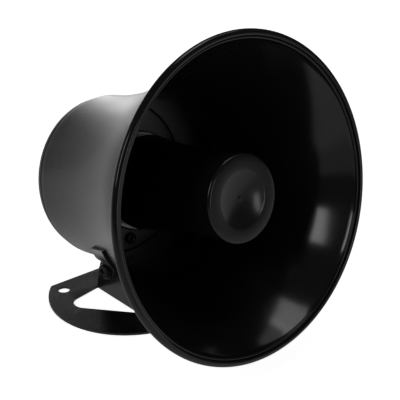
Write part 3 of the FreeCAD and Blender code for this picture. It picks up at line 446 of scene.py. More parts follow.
class Groups:
    """Node groups that several finishes share."""

    @staticmethod
    def start(name: str, inputs: Sequence[tuple[str, str, object]],
              outputs: Sequence[tuple[str, str]]) -> bpy.types.NodeTree:
        """Make an empty group.

        Args:
            name: Name of the group.
            inputs: Name, socket type and default of each input.
            outputs: Name and socket type of each output.

        Returns:
            The group with its input and output nodes.
        """
        tree = bpy.data.node_groups.new(name, "ShaderNodeTree")
        for label, kind, default in inputs:
            socket = tree.interface.new_socket(name=label, in_out="INPUT", socket_type=kind)
            socket.default_value = default
        for label, kind in outputs:
            tree.interface.new_socket(name=label, in_out="OUTPUT", socket_type=kind)
        tree.nodes.new("NodeGroupInput").name = "in"
        tree.nodes.new("NodeGroupOutput").name = "out"
        return tree

    @staticmethod
    def grain() -> bpy.types.NodeTree:
        """Build the uneven gloss and fine bump of a moulded or enamelled skin."""
        tree = Groups.start(
            "skin_grain",
            [("Patch Scale", "NodeSocketFloat", 30.0), ("Grain Scale", "NodeSocketFloat", 900.0),
             ("Smooth", "NodeSocketFloat", 0.25), ("Rough", "NodeSocketFloat", 0.35)],
            [("Roughness", "NodeSocketFloat"), ("Height", "NodeSocketFloat")])
        nodes, links = tree.nodes, tree.links
        where = nodes.new("ShaderNodeTexCoord")
        patch = nodes.new("ShaderNodeTexNoise")
        patch.inputs["Detail"].default_value = 4.0
        fine = nodes.new("ShaderNodeTexNoise")
        fine.inputs["Detail"].default_value = 3.0
        spread = nodes.new("ShaderNodeMapRange")
        put(spread, {"From Min": 0.35, "From Max": 0.65})
        for node, scale in ((patch, "Patch Scale"), (fine, "Grain Scale")):
            links.new(where.outputs["Object"], node.inputs["Vector"])
            links.new(nodes["in"].outputs[scale], node.inputs["Scale"])
        links.new(patch.outputs["Fac"], spread.inputs["Value"])
        links.new(nodes["in"].outputs["Smooth"], spread.inputs["To Min"])
        links.new(nodes["in"].outputs["Rough"], spread.inputs["To Max"])
        links.new(spread.outputs["Result"], nodes["out"].inputs["Roughness"])
        links.new(fine.outputs["Fac"], nodes["out"].inputs["Height"])
        return tree

    @staticmethod
    def dust() -> bpy.types.NodeTree:
        """Build a thin film of dust that lies on upward faces in uneven patches."""
        tree = Groups.start(
            "dust_film",
            [("Base", "NodeSocketColor", (0.02, 0.02, 0.02, 1.0)),
             ("Dust", "NodeSocketColor", (0.2, 0.2, 0.2, 1.0)),
             ("Amount", "NodeSocketFloat", 0.05), ("Scale", "NodeSocketFloat", 120.0)],
            [("Color", "NodeSocketColor")])
        nodes, links = tree.nodes, tree.links
        where = nodes.new("ShaderNodeTexCoord")
        noise = nodes.new("ShaderNodeTexNoise")
        noise.inputs["Detail"].default_value = 6.0
        surface = nodes.new("ShaderNodeNewGeometry")
        parts = nodes.new("ShaderNodeSeparateXYZ")
        upward, patches, share = (nodes.new("ShaderNodeMath") for _ in range(3))
        upward.operation = "MAXIMUM"
        upward.inputs[1].default_value = 0.15
        patches.operation = share.operation = "MULTIPLY"
        mix = nodes.new("ShaderNodeMix")
        mix.data_type = "RGBA"
        links.new(where.outputs["Object"], noise.inputs["Vector"])
        links.new(nodes["in"].outputs["Scale"], noise.inputs["Scale"])
        links.new(surface.outputs["Normal"], parts.inputs["Vector"])
        links.new(parts.outputs["Z"], upward.inputs[0])
        links.new(upward.outputs[0], patches.inputs[0])
        links.new(noise.outputs["Fac"], patches.inputs[1])
        links.new(patches.outputs[0], share.inputs[0])
        links.new(nodes["in"].outputs["Amount"], share.inputs[1])
        links.new(share.outputs[0], mix.inputs["Factor"])
        links.new(nodes["in"].outputs["Base"], mix.inputs["A"])
        links.new(nodes["in"].outputs["Dust"], mix.inputs["B"])
        links.new(mix.outputs["Result"], nodes["out"].inputs["Color"])
        return tree


@dataclass(frozen=True)
class Finish:
    """Surface finish of one kind of piece.

    Attributes:
        name: Name of the material.
        colour: Linear base colour.
        smooth: Lowest roughness.
        rough: Highest roughness.
        metal: Metallic value.
        grain: Scale of the fine bump, per metre.
        bump: Depth of the fine bump, in millimetres.
        patch: Scale of the gloss patches, per metre.
        dust: Share of dust on upward faces.
        coat: Weight of a clear coat.
        specular: Specular level of the skin.
    """

    name: str
    colour: Triple
    smooth: float = 0.3
    rough: float = 0.4
    metal: float = 0.0
    grain: float = 1500.0
    bump: float = 0.01
    patch: float = 25.0
    dust: float = 0.02
    coat: float = 0.0
    specular: float = 0.5

    def build(self, grain: bpy.types.NodeTree, dust: bpy.types.NodeTree
              ) -> bpy.types.Material:
        """Make the material.

        Args:
            grain: Group of the grain.
            dust: Group of the dust film.

        Returns:
            The material.
        """
        material = bpy.data.materials.new(self.name)
        material.use_nodes = True
        nodes, links = material.node_tree.nodes, material.node_tree.links
        shader = nodes["Principled BSDF"]
        put(shader, {"Metallic": self.metal, "Coat Weight": self.coat,
                     "Coat Roughness": self.smooth * 0.6, "Specular IOR Level": self.specular})
        skin = nodes.new("ShaderNodeGroup")
        skin.node_tree = grain
        put(skin, {"Patch Scale": self.patch, "Grain Scale": self.grain,
                   "Smooth": self.smooth, "Rough": self.rough})
        film = nodes.new("ShaderNodeGroup")
        film.node_tree = dust
        put(film, {"Base": (*self.colour, 1.0), "Dust": (0.25, 0.25, 0.24, 1.0),
                   "Amount": self.dust})
        bump = nodes.new("ShaderNodeBump")
        put(bump, {"Strength": 0.5, "Distance": self.bump * MM})
        links.new(skin.outputs["Roughness"], shader.inputs["Roughness"])
        links.new(skin.outputs["Height"], bump.inputs["Height"])
        links.new(bump.outputs["Normal"], shader.inputs["Normal"])
        links.new(film.outputs["Color"], shader.inputs["Base Color"])
        return material


class Palette:
    """All finishes of the speaker, built once."""

    FINISHES = (
        Finish("bell_black", (0.010, 0.010, 0.011), smooth=0.24, rough=0.28, bump=0.002),
        # Inside faces of the bell: the same moulding, smoother, and a little darker as painted
        # shade.
        Finish("inside_black_gloss_painted_shade", (0.008, 0.008, 0.009), smooth=0.12, rough=0.16, bump=0.001),
        Finish("cap_black", (0.012, 0.012, 0.013), smooth=0.26, rough=0.32, bump=0.006),
        Finish("plate_black", (0.28, 0.28, 0.29), smooth=0.28, rough=0.36, metal=0.85, bump=0.015),
        Finish("inner_black", (0.010, 0.010, 0.011), smooth=0.26, rough=0.34, bump=0.006),
        Finish("nose_black", (0.009, 0.009, 0.010), smooth=0.16, rough=0.2, bump=0.004),
        Finish("enamel_black", (0.010, 0.010, 0.011), smooth=0.24, rough=0.3, grain=900.0,
               bump=0.01, patch=60.0, dust=0.004, coat=0.3),
        Finish("screw_black", (0.02, 0.02, 0.022), smooth=0.3, rough=0.45, metal=0.6,
               patch=200.0),
        Finish("zinc", (0.55, 0.55, 0.56), smooth=0.25, rough=0.4, metal=1.0, patch=150.0),
        Finish("rubber", (0.018, 0.018, 0.018), smooth=0.6, rough=0.75, bump=0.02),
        Finish("ferrite_grey", (0.06, 0.06, 0.065), smooth=0.5, rough=0.65, bump=0.02),
        Finish("film_amber", (0.35, 0.2, 0.08), smooth=0.25, rough=0.35),
        Finish("copper", (0.6, 0.28, 0.14), smooth=0.3, rough=0.4, metal=1.0),
        Finish("laminate", (0.22, 0.13, 0.06), smooth=0.5, rough=0.6),
        Finish("tinned", (0.7, 0.68, 0.62), smooth=0.3, rough=0.4, metal=1.0),
    )

    def __init__(self) -> None:
        """Build the groups and the materials."""
        grain, dust = Groups.grain(), Groups.dust()
        self.made = {finish.name: finish.build(grain, dust) for finish in self.FINISHES}

    def give(self, piece: bpy.types.Object, name: str) -> None:
        """Give a piece one finish all over."""
        piece.data.materials.clear()
        piece.data.materials.append(self.made[name])

    def line(self, piece: bpy.types.Object, name: str, faces: Sequence[int]) -> None:
        """Give some faces of a piece a second finish."""
        piece.data.materials.append(self.made[name])
        for index in faces:
            piece.data.polygons[index].material_index = 1


class Assembly:
    """Common steps of the sub-assemblies."""

    def __init__(self, palette: Palette) -> None:
        """Keep the finishes."""
        self.palette = palette

    def finish(self, piece: bpy.types.Object, rides: Rides, finish: str, slot: str,
               *nodes: str, sharp: float = 32.0) -> bpy.types.Object:
        """Shade, dress and attach a finished piece.

        Args:
            piece: Piece in its place.
            rides: Body that it moves with.
            finish: Name of its finish.
            slot: Material slot of the record; not used.
            nodes: Frame nodes that it stands for.
            sharp: Angle above which an edge is shaded sharp, in degrees.

        Returns:
            The piece.
        """
        Bench.shade(piece, sharp)
        self.palette.give(piece, finish)
        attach(piece, rides.value)
        if nodes:
            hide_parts(*nodes)
        LOG.info("%s: %d faces on %s", piece.name, len(piece.data.polygons), rides.value)
        return piece

    def place(self, piece: bpy.types.Object, name: str, finish: str, slot: str
              ) -> bpy.types.Object:
        """Carry a piece to the horn's place and dress it for one frame node."""
        Bench.carry(piece, TILT.matrix())
        return self.finish(piece, Rides.HORN, finish, slot, name)


@dataclass(frozen=True)
class BellSizes:
    """Sizes of the bell and its cap."""

    mouth: float = 63.5
    barrel: float = 36.3
    wall: float = 2.4
    flare_start: float = 88.0
    length: float = 91.5
    rear_edge: float = 1.1
    seam_width: float = 0.5
    seam_depth: float = 1.0
    lip_reach: float = 2.1
    lip_root: Point = (1.2, 62.0)
    bead: float = 1.5
    bead_sweep: Pair = (12.0, 218.0)
    groove: float = 0.25
    groove_shift: Point = (-0.35, -0.1)
    inner_bead: float = 0.7
    inner_step: float = 0.8
    inner_sweep: Pair = (140.0, 265.0)
    skin_shift: Point = (0.4, -0.15)
    flare_steps: int = 56
    front_face_slope: float = 0.2
    ledge: Triple = (87.0, 89.5, 31.9)
    spigot: float = 34.1
    spigot_clear: float = 0.2
    spigot_wall: float = 1.7
    seal: float = 1.0
    cap_step: float = 0.4
    cap_end: float = 95.8
    cap_wall: float = 2.0
    cap_draft: float = 0.5
    cap_edge: float = 1.4
    cap_lead: float = 0.3
    cap_ring: float = 2.0
    inlet_drop: float = 16.0
    inlet: float = 3.7
    grommet: tuple[float, ...] = (2.3, 5.2, 1.2, 1.6)
    grommet_clear: float = 0.1


class Bell(Assembly):
    """Bell, rear cap and cable grommet."""

    SIZES = BellSizes()

    @staticmethod
    def flare(start: Point, end: Point, steps: int) -> list[Point]:
        """Arc of a flare that is parallel to the axis at its start.

        Args:
            start: Station and radius at the barrel.
            end: Station and radius at the mouth.
            steps: Runs in the arc.

        Returns:
            The points from the barrel to the mouth.
        """
        bend, sweep = curve(start[0] - end[0], end[1] - start[1])
        return arc((start[0], start[1] + bend), bend, 270.0, 270.0 - sweep, steps)

    def shell(self) -> bpy.types.Object:
        """Model the bell with an outer and an inner bead round its mouth."""
        s = self.SIZES
        bead = (s.bead - s.lip_reach, s.mouth - s.bead)
        inner = (s.inner_step + s.inner_bead - s.lip_reach, bead[1] - s.bead)
        groove = (inner[0] + s.groove_shift[0], inner[1] + s.inner_bead + s.groove_shift[1])
        skin = (inner[0] + s.skin_shift[0], inner[1] - s.inner_bead + s.skin_shift[1])
        ledge_front, ledge_back, ledge_radius = s.ledge
        section = [
            *arc((s.length - s.rear_edge, s.barrel - s.rear_edge), s.rear_edge, 0, 90, 8),
            *self.flare((s.flare_start, s.barrel), s.lip_root, s.flare_steps),
            *arc(bead, s.bead, *s.bead_sweep, 20),
            *arc(groove, s.groove, 60, -60, 4),
            *arc(inner, s.inner_bead, *s.inner_sweep, 10),
            *reversed(self.flare((ledge_front, s.barrel - s.wall), skin, s.flare_steps)),
            (ledge_front, ledge_radius),
            (ledge_back, ledge_radius),
            (ledge_back, s.spigot),
            (s.length, s.spigot),
        ]
        piece = Bench.lathe("bell_shell", section, Round.LARGE)
        inside_faces = self.inside_faces(piece)
        self.place(piece, "bell", "bell_black", "bell_plastic")
        # The inside faces get the smoother finish, made darker as painted shade.
        self.palette.line(piece, "inside_black_gloss_painted_shade", inside_faces)
        return piece

    def inside_faces(self, piece: bpy.types.Object) -> list[int]:
        """Find the faces of a lathed piece that look at the horn axis or forward: they get a
        smoother finish and a painted shade.

        Args:
            piece: Piece in the horn's frame.

        Returns:
            The numbers of those faces.
        """
        return [face.index for face in piece.data.polygons
                if face.normal.x * face.center.x + face.normal.z * face.center.z < 0
                or face.normal.y < -self.SIZES.front_face_slope]

    def cap(self) -> bpy.types.Object:
        """Model the rear cap with its inlet."""
        s = self.SIZES
        radius = s.barrel - s.cap_step
        rim = radius - s.cap_draft
        outer = s.spigot - s.spigot_clear
        front = s.ledge[1] + s.seal
        section = [
            (front, outer),
            (s.length, outer),
            (s.length, radius - s.seam_depth),
            (s.length + s.seam_width, radius - s.seam_depth),
            *arc((s.length + s.seam_width + s.cap_lead, radius - s.cap_lead), s.cap_lead,
                 180, 90, 4),
            *arc((s.cap_end - s.cap_edge, rim - s.cap_edge), s.cap_edge, 90, 0, 10),
            (s.cap_end, rim - s.cap_edge - s.cap_ring),
            (s.cap_end, 0.0),
            (s.cap_end - s.cap_wall, 0.0),
            (s.cap_end - s.cap_wall, outer - s.spigot_wall),
            (front, outer - s.spigot_wall),
        ]
        piece = Bench.lathe("rear_cap_shell", section, Round.LARGE)
        drill = Bench.rod("inlet_drill", s.inlet, (
            Vector((0, s.cap_end - 2 * s.cap_wall, -s.inlet_drop)),
            Vector((0, s.cap_end + s.cap_wall, -s.inlet_drop))))
        Bench.boolean(piece, drill, "DIFFERENCE")
        return self.place(piece, "rear_cap", "cap_black", "cap_plastic")

    def grommet(self) -> bpy.types.Object:
        """Model the rubber grommet of the inlet."""
        s = self.SIZES
        bore, flange, inside, outside = s.grommet
        neck = s.inlet - s.grommet_clear
        front, rear = s.cap_end - s.cap_wall - inside, s.cap_end + outside
        section = rounded([
            (front, bore), (rear, bore), (rear, flange * 0.75), (s.cap_end, flange),
            (s.cap_end, neck), (s.cap_end - s.cap_wall, neck),
            (s.cap_end - s.cap_wall, flange), (front, flange * 0.9),
        ], [0.3, 0.5, 0.6, 0.3, 0.0, 0.0, 0.3, 0.3], 3)
        piece = Bench.lathe("inlet_grommet", section, Round.SMALL, s.inlet_drop)
        return self.place(piece, "cable_grommet", "rubber", "seal_rubber")

    def build(self) -> None:
        """Model and dress all pieces of the bell."""
        self.shell()
        self.cap()
        self.grommet()


@dataclass(frozen=True)
class InnerSizes:
    """Sizes of the back plate, the reflex cup, the nose and the throat tube."""

    plate: Triple = (84.0, 87.0, 33.7)
    hub: Triple = (69.0, 21.71, 19.71)
    plate_edge: float = 0.3
    hub_wall: float = 2.0
    hub_root: float = 0.5
    hub_edge: float = 1.0
    seat: float = 74.0
    chamber: float = 15.19
    throat: float = 4.5
    tube: Triple = (34.0, 7.5, 1.6)
    flange: Pair = (12.0, 2.0)
    nose_front: float = 3.9
    nose_radius: float = 17.5
    nose_depth: float = 3.4
    nose_edge: float = 1.3
    dish: Pair = (11.5, 2.0)
    dish_shares: Pair = (0.1, 0.985)
    dish_lip: float = 0.12
    gate: tuple[Point, ...] = ((0.35, 0.0), (0.35, 0.5), (0.05, 0.8))
    plug_clear: float = 0.2
    plug_wall: float = 1.8
    cup: Triple = (17.0, 1.6, 20.0)
    cup_edge: float = 0.25
    skirt: Pair = (63.0, 20.4)
    floor: float = 12.5
    screw_circle: float = 28.5
    screw_head: Pair = (2.7, 1.7)
    screw_shank: Pair = (7.0, 1.4)
    screw_cross: Point = (0.38, 1.5)
    screw_count: int = 4


class Inner(Assembly):
    """Everything that shows inside the bell."""

    SIZES = InnerSizes()

    def back_plate(self) -> bpy.types.Object:
        """Model the back plate with its hub."""
        s = self.SIZES
        front, back, edge = s.plate
        hub_front, hub, bore = s.hub
        section = [
            *arc((front - s.hub_root, hub + s.hub_root), s.hub_root, 270, 360, 3),
            *arc((front + s.plate_edge, edge - s.plate_edge), s.plate_edge, 180, 90, 3),
            (back, edge),
            (back, bore),
            (s.seat, bore),
            (s.seat, s.chamber),
            (hub_front + s.hub_wall, s.chamber),
            (hub_front + s.hub_wall, s.throat),
            (hub_front, s.throat),
            *arc((hub_front + s.hub_edge, hub - s.hub_edge), s.hub_edge, 180, 90, 6),
        ]
        piece = Bench.lathe("back_plate_moulding", section, Round.LARGE)
        return self.place(piece, "back_plate", "plate_black", "plate_plastic")

    def cup(self) -> bpy.types.Object:
        """Model the reflex cup with its widening skirt."""
        s = self.SIZES
        radius, wall, straight = s.cup
        end, skirt = s.skirt
        nose_back = s.nose_front + s.nose_depth
        bend, sweep = curve(end - straight, skirt - radius)
        outer = arc((straight, radius + bend), bend, 270.0, 270.0 + sweep, 24)
        inner = arc((straight, radius - wall + bend), bend, 270.0 + sweep, 270.0, 24)
        section = [
            *arc((nose_back + s.cup_edge, radius - s.cup_edge), s.cup_edge, 180, 90, 3),
            *outer,
            *inner,
            (s.floor + wall, radius - wall),
            (s.floor + wall, 0.0),
            (s.floor, 0.0),
            (s.floor, radius - wall),
            (nose_back, radius - wall),
        ]
        piece = Bench.lathe("reflex_cup_moulding", section, Round.MIDDLE)
        return self.place(piece, "reflex_cup", "inner_black", "inner_plastic")

    def nose(self) -> bpy.types.Object:
        """Model the nose cap with its dish and the gate mark in its middle."""
        s = self.SIZES
        radius, front, edge = s.nose_radius, s.nose_front, s.nose_edge
        back = front + s.nose_depth
        dish, depth = s.dish
        bend, sweep = curve(dish, depth)
        first, last = s.dish_shares
        plug = s.cup[0] - s.cup[1] - s.plug_clear
        section = [
            *arc((front + edge, radius - edge), edge, 180, 90, 8),
            (back, radius),
            (back, plug),
            (s.floor - s.plug_clear, plug),
            (s.floor - s.plug_clear, plug - s.plug_wall),
            (back, plug - s.plug_wall),
            (back, 0.0),
            *[(front + depth - rise, reach) for rise, reach in s.gate],
            *arc((front + depth - bend, 0.0), bend, sweep * first, sweep * last, 20),
            (front, dish + s.dish_lip),
        ]
        piece = Bench.lathe("nose_cap_moulding", section, Round.LARGE)
        return self.place(piece, "nose_cap", "nose_black", "nose_plastic")

    def tube(self) -> bpy.types.Object:
        """Model the throat tube."""
        s = self.SIZES
        front, mouth, wall = s.tube
        flange, thick = s.flange
        hub_front = s.hub[0]
        section = rounded([
            (hub_front, s.throat), (hub_front, flange), (hub_front - thick, flange),
            (hub_front - thick, s.throat + wall), (front, mouth + wall), (front, mouth),
            (hub_front - thick, s.throat),
        ], [0.0, 0.2, 0.4, 0.6, 0.4, 0.4, 0.0], 3)
        piece = Bench.lathe("throat_tube_moulding", section, Round.MIDDLE)
        return self.place(piece, "throat_tube", "inner_black", "inner_plastic")

    def screws(self) -> list[bpy.types.Object]:
        """Model one pan-head screw with a cross recess and copy it round the plate."""
        s = self.SIZES
        head, thick = s.screw_head
        length, shank = s.screw_shank
        seat = s.plate[0]
        top = seat - thick
        section = [
            (seat, head),
            *arc((seat - thick * 0.45, head * 0.55), head * 0.45, 90, 180, 6),
            (top, 0.0),
            (seat + length, 0.0),
            (seat + length, shank),
            (seat, shank),
        ]
        model = Bench.lathe("screw_model", section, Round.SMALL, s.screw_circle)
        Bench.cross(model, s.screw_cross,
                    lambda x, z: Vector((x, top - 0.5, z - s.screw_circle)), Vector((0, 1.4, 0)))
        Bench.soften(model, 0.06)
        made = []
        for number in range(s.screw_count):
            turn = Matrix.Rotation(math.tau * number / s.screw_count, 4, "Y")
            spin = Bench.copy(model, f"plate_screw_{number + 1}", TILT.matrix() @ turn)
            made.append(spin)
        Bench.drop(model)
        for screw in made:
            self.finish(screw, Rides.HORN, "screw_black", "black_screws")
        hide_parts("plate_screws")
        return made

    def build(self) -> None:
        """Model and dress all inner pieces."""
        self.back_plate()
        self.cup()
        self.nose()
        self.tube()
        self.screws()


@dataclass(frozen=True)
class FootSizes:
    """Sizes of the foot and the pivot."""

    sheet: float = 1.0
    radius: float = 37.9
    flat: float = 27.8
    corner: float = 3.0
    holes: tuple[Point, ...] = ((23.1, 20.9), (-23.1, 20.9), (0.0, -31.0))
    hole: float = 2.75
    ear_outer: float = 9.7
    ear_feet: Pair = (-18.9, 13.4)
    ear_middle: Point = (4.1, 12.9)
    ear_tip: float = 6.0
    bend: float = 1.5
    root: float = 0.5
    window_middle: Point = (21.1, 4.9)
    window_tip: float = 6.2
    pin_hole: float = 2.1
    bolt: float = 2.0
    bolt_head: Pair = (3.5, 1.5)
    bolt_cross: Point = (0.45, 1.9)
    washer: Pair = (4.2, 0.5)
    washer_face: float = 11.3
    nut: Pair = (7.0, 3.2)
    bolt_beyond: float = 1.4


class Foot(Assembly):
    """Base bracket with the bolt, washers and nut of the pivot."""

    SIZES = FootSizes()
    NEAR = 0.05

    def bracket(self) -> bpy.types.Object:
        """Model the foot: a round plate with windows and two ears folded up."""
        s = self.SIZES
        half = math.sqrt(s.radius ** 2 - s.flat ** 2)
        side = math.degrees(math.atan2(s.flat, half))
        disc = rounded(arc((0, 0), s.radius, 180 - side, 360 + side, 120), [
            s.corner, *[0.0] * 119, s.corner], 6)
        piece = Bench.slab("foot_plate", disc, lambda x, y: Vector((x, y, 0)),
                           Vector((0, 0, s.sheet)))
        for number, (x, y) in enumerate(s.holes):
            drill = Bench.rod(f"drill_{number}", s.hole,
                              (Vector((x, y, -2)), Vector((x, y, 2 * s.sheet))))
            Bench.boolean(piece, drill, "DIFFERENCE")
        pivot_y, pivot_z = TILT.pivot
        front, rear = s.ear_feet
        reach, middle = s.window_middle
        for side in (-1, 1):
            window = tongue((-s.ear_outer, front), (-s.ear_outer, rear),
                            (-reach, middle), s.window_tip)
            tool = Bench.slab(f"window_{side}", window,
                              lambda x, y: Vector((-side * x, y, -s.sheet)),
                              Vector((0, 0, 4 * s.sheet)))
            Bench.boolean(piece, tool, "DIFFERENCE")
            ear = Bench.slab(
                f"ear_{side}",
                tongue((front, 0.0), (rear, 0.0), s.ear_middle, s.ear_tip),
                lambda y, z: Vector((side * s.ear_outer, y, z)),
                Vector((-side * s.sheet, 0, 0)))
            Bench.boolean(piece, ear, "UNION")
        bore = Bench.rod("pin_drill", s.pin_hole, (
            Vector((-2 * s.ear_outer, pivot_y, pivot_z)),
            Vector((2 * s.ear_outer, pivot_y, pivot_z))))
        Bench.boolean(piece, bore, "DIFFERENCE")
        Bench.tidy(piece)

        def fold(across: float, height: float) -> Callable[[Vector, Vector], bool]:
            """Make the test that tells a fold's long edge at a place across and a height."""
            return lambda first, last: abs(first.y - last.y) > 1 and all(
                abs(abs(p.x) - across) < self.NEAR and abs(p.z - height) < self.NEAR
                for p in (first, last))

        Bench.bevel(piece, s.bend, 6, fold(s.ear_outer, 0.0))
        Bench.bevel(piece, s.root, 4, fold(s.ear_outer - s.sheet, s.sheet))
        Bench.soften(piece, 0.18, 3, 40.0)
        return self.finish(piece, Rides.BRACKET, "enamel_black", "black_sheet", "base_bracket")

    def along(self, x: float) -> Vector:
        """Return the point of the pivot line at a distance across."""
        return Vector((x, *TILT.pivot))

    def bolt(self) -> bpy.types.Object:
        """Model the pivot bolt with a round head and a cross recess."""
        s = self.SIZES
        face = s.washer_face + s.washer[1]
        radius, thick = s.bolt_head
        piece = Bench.rod("tilt_bolt", radius, (self.along(-face - thick), self.along(-face)),
                          64)

        def crown(first: Vector, last: Vector) -> bool:
            """Tell the outer edge of the head."""
            return all(p.x < -face - thick + self.NEAR for p in (first, last))

        Bench.bevel(piece, 1.0, 6, crown)
        shank = Bench.rod("shank", s.bolt, (
            self.along(-face - 0.5), self.along(face + s.nut[1] + s.bolt_beyond)))
        Bench.boolean(piece, shank, "UNION")
        Bench.cross(piece, s.bolt_cross,
                    lambda y, z: self.along(-face - thick - 1) + Vector((0, y, z)),
                    Vector((1.9, 0, 0)))
        Bench.soften(piece, 0.12)
        return self.finish(piece, Rides.BRACKET, "screw_black", "pivot_steel", "pivot_bolt")

    def washers(self) -> None:
        """Model the washer under the head and the one under the nut."""
        s = self.SIZES
        radius, thick = s.washer
        for side, word in ((-1, "left"), (1, "right")):
            ends = (self.along(side * s.washer_face), self.along(side * (s.washer_face + thick)))
            ring = Bench.rod(f"tilt_washer_{word}", radius, ends, 64)
            hole = Bench.rod("washer_hole", s.pin_hole, (
                self.along(side * (s.washer_face - 1)),
                self.along(side * (s.washer_face + 2))))
            Bench.boolean(ring, hole, "DIFFERENCE")
            Bench.soften(ring, 0.1)
            self.finish(ring, Rides.BRACKET, "screw_black", "pivot_steel")
            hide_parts("pivot_washers")

    def nut(self) -> bpy.types.Object:
        """Model the hexagon nut with chamfered corners."""
        s = self.SIZES
        face = s.washer_face + s.washer[1]
        across, thick = s.nut
        piece = Bench.rod("tilt_nut", across / math.sqrt(3),
                          (self.along(face), self.along(face + thick)), 6)
        Bench.soften(piece, 0.3, 2)
        hole = Bench.rod("nut_hole", s.bolt, (self.along(face - 1), self.along(face + 5)))
        Bench.boolean(piece, hole, "DIFFERENCE")
        return self.finish(piece, Rides.BRACKET, "screw_black", "pivot_steel", "pivot_nut")

    def build(self) -> None:
        """Model and dress all pieces of the foot."""
        self.bracket()
        self.bolt()
        self.washers()
        self.nut()


class Kept(Assembly):
    """Finishes of the frame's nodes that keep their shapes."""

    DRESS = {
        "cap_seal": "rubber", "driver_gasket": "rubber", "surround": "film_amber",
        "diaphragm": "film_amber", "voice_coil": "copper", "top_plate": "zinc",
        "pole_yoke": "zinc", "driver_clamp": "zinc", "clamp_screws": "zinc",
        "magnet": "ferrite_grey", "terminal_board": "laminate", "terminal_tags": "tinned",
        "cup_spider": "inner_black", "saddle": "enamel_black", "saddle_screws": "screw_black",
    }

    def build(self, nodes: dict[str, bpy.types.Object]) -> None:
        """Dress the nodes.

        Args:
            nodes: Frame nodes by name.
        """
        for name, finish in self.DRESS.items():
            self.palette.give(nodes[name], finish)
            LOG.info("%s keeps the frame's shape", name)


@dataclass(frozen=True)
class Softbox:
    """Rectangular studio lamp.

    Attributes:
        name: Name of the lamp.
        place: Position, in metres.
        size: Width and height, in metres.
        power: Power, in watts.
    """

    name: str
    place: Triple
    size: Pair
    power: float

    def build(self, aim: Vector) -> None:
        """Add the lamp, turned towards a point."""
        Bench.clear()
        way = aim - Vector(self.place)
        bpy.ops.object.light_add(type="AREA", location=self.place,
                                 rotation=way.to_track_quat("-Z", "Y").to_euler())
        lamp = bpy.context.object
        lamp.name = self.name
        lamp.data.shape = "RECTANGLE"
        lamp.data.size, lamp.data.size_y = self.size
        lamp.data.energy = self.power


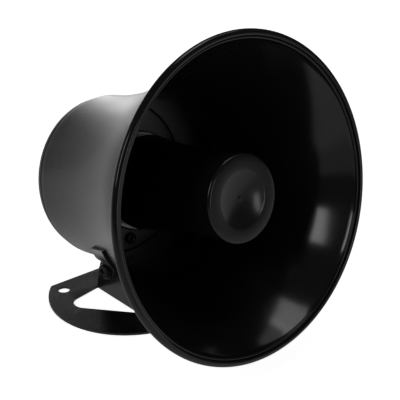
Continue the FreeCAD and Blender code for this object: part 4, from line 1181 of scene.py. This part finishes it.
class Studio:
    """Floor, backdrop, lamps, world and camera."""

    LAMPS = (
        Softbox("left_box", (-0.73, -0.19, 0.56), (0.17, 0.40), 0.75),
        Softbox("top_box", (0.22, -0.08, 0.94), (0.38, 0.32), 0.8),
        Softbox("side_box", (0.46, 0.0, 0.84), (0.34, 0.34), 0.2),
        Softbox("front_box", (0.26, -1.02, 0.14), (0.10, 0.36), 0.36),
        Softbox("back_box", (0.42, 0.72, 0.10), (0.30, 0.16), 0.15),
    )
    AIM = Vector((0.0, -0.03, 0.07))
    EYE = (-217.69, -298.49, 206.81)
    LOOK = (0.6031, 0.6909, -0.3987)
    LENS = 81.0
    GLOW = 0.05
    WHITE = 0.94
    FLOOR_SIZE = 6.0
    FLOOR_DROP = 0.0002
    FLOOR_GLOW = ((0.5, 0.866, 0.0), 0.07, (-0.21, -0.15, 0.16), (-0.06, 0.14, 0.14))
    WALL_PLACE = (0.0, 0.9, 0.22)
    WALL_SIZE = (1.3, 0.44, 1.0)
    WALL_GLOW = ((1.0, 0.0, 0.0), 0.12, (0.0, 0.5, 0.86))

    def world(self) -> None:
        """Room round the table: white to the camera and nearly dark to all other rays."""
        world = bpy.data.worlds.new("studio")
        bpy.context.scene.world = world
        world.use_nodes = True
        nodes, links = world.node_tree.nodes, world.node_tree.links
        back = nodes["Background"]
        put(back, {"Color": (1.0, 1.0, 1.0, 1.0)})
        path = nodes.new("ShaderNodeLightPath")
        level = nodes.new("ShaderNodeMapRange")
        put(level, {"To Min": self.GLOW, "To Max": 1.0})
        links.new(path.outputs["Is Camera Ray"], level.inputs["Value"])
        links.new(level.outputs["Result"], back.inputs["Strength"])

    def sheet(self, name: str, along: Triple, base: float, *steps: Triple
              ) -> bpy.types.Material:
        """Make a white studio surface whose glow changes along one direction.

        The camera sees white. Metal and gloss see the glow that the surface has in the room.

        Args:
            name: Name of the material.
            along: Direction of the change.
            base: Strength where it is least.
            steps: Start, end and added strength of each change, in metres.

        Returns:
            The material.
        """
        material = bpy.data.materials.new(name)
        material.use_nodes = True
        nodes, links = material.node_tree.nodes, material.node_tree.links
        shader = nodes["Principled BSDF"]
        put(shader, {"Base Color": (0.8, 0.8, 0.8, 1.0), "Roughness": 0.9,
                     "Emission Color": (1.0, 1.0, 1.0, 1.0)})
        place = nodes.new("ShaderNodeTexCoord")
        way = nodes.new("ShaderNodeVectorMath")
        way.operation = "DOT_PRODUCT"
        way.inputs[1].default_value = along
        links.new(place.outputs["Object"], way.inputs[0])
        total = None
        for first, last, strength in steps:
            ramp = nodes.new("ShaderNodeMapRange")
            ramp.interpolation_type = "SMOOTHSTEP"
            start = base if total is None else 0.0
            put(ramp, {"From Min": first, "From Max": last,
                       "To Min": start, "To Max": start + strength})
            links.new(way.outputs["Value"], ramp.inputs["Value"])
            if total is None:
                total = ramp.outputs["Result"]
                continue
            add = nodes.new("ShaderNodeMath")
            links.new(total, add.inputs[0])
            links.new(ramp.outputs["Result"], add.inputs[1])
            total = add.outputs["Value"]
        path = nodes.new("ShaderNodeLightPath")
        level = nodes.new("ShaderNodeMapRange")
        put(level, {"To Max": self.WHITE})
        links.new(path.outputs["Is Camera Ray"], level.inputs["Value"])
        links.new(total, level.inputs["To Min"])
        links.new(level.outputs["Result"], shader.inputs["Emission Strength"])
        return material

    def floor(self) -> None:
        """Pale table that shows white to the camera and keeps a faint shadow."""
        Bench.clear()
        bpy.ops.mesh.primitive_plane_add(size=self.FLOOR_SIZE, location=(0, 0, -self.FLOOR_DROP))
        plane = bpy.context.object
        plane.name = "studio_floor"
        plane.data.materials.append(self.sheet("floor_white", *self.FLOOR_GLOW))

    def backdrop(self) -> None:
        """White wall behind the table, whose glow in the room rises to the right."""
        Bench.clear()
        bpy.ops.mesh.primitive_plane_add(size=1.0, location=self.WALL_PLACE,
                                         rotation=(math.pi / 2, 0, 0))
        wall = bpy.context.object
        wall.scale = self.WALL_SIZE
        bpy.ops.object.transform_apply(location=False, rotation=False, scale=True)
        wall.name = "studio_backdrop"
        wall.data.materials.append(self.sheet("wall_white", *self.WALL_GLOW))

    def camera(self) -> None:
        """Camera at the photograph's place, angle and focal length."""
        data = bpy.data.cameras.new("camera")
        data.lens = self.LENS
        data.sensor_width = 36.0
        data.clip_start = 0.01
        camera = bpy.data.objects.new("camera", data)
        bpy.context.scene.collection.objects.link(camera)
        look = Vector(self.LOOK).normalized()
        right = look.cross(Vector((0, 0, 1))).normalized()
        up = right.cross(look)
        turn = Matrix((right, up, -look)).transposed().to_4x4()
        camera.matrix_world = Matrix.Translation(Vector(self.EYE) * MM) @ turn
        bpy.context.scene.camera = camera

    def build(self) -> None:
        """Set up the studio."""
        bpy.context.scene.view_settings.view_transform = "Standard"
        self.world()
        self.floor()
        self.backdrop()
        for lamp in self.LAMPS:
            lamp.build(self.AIM)
        self.camera()


def main() -> None:
    """Load the frame, set up the studio and build every sub-assembly."""
    logging.basicConfig(level=logging.INFO, format="%(name)s %(message)s")
    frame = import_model()
    Studio().build()
    palette = Palette()
    Bell(palette).build()
    Inner(palette).build()
    Foot(palette).build()
    Kept(palette).build(frame["nodes"])


if __name__ == "__main__":
    main()
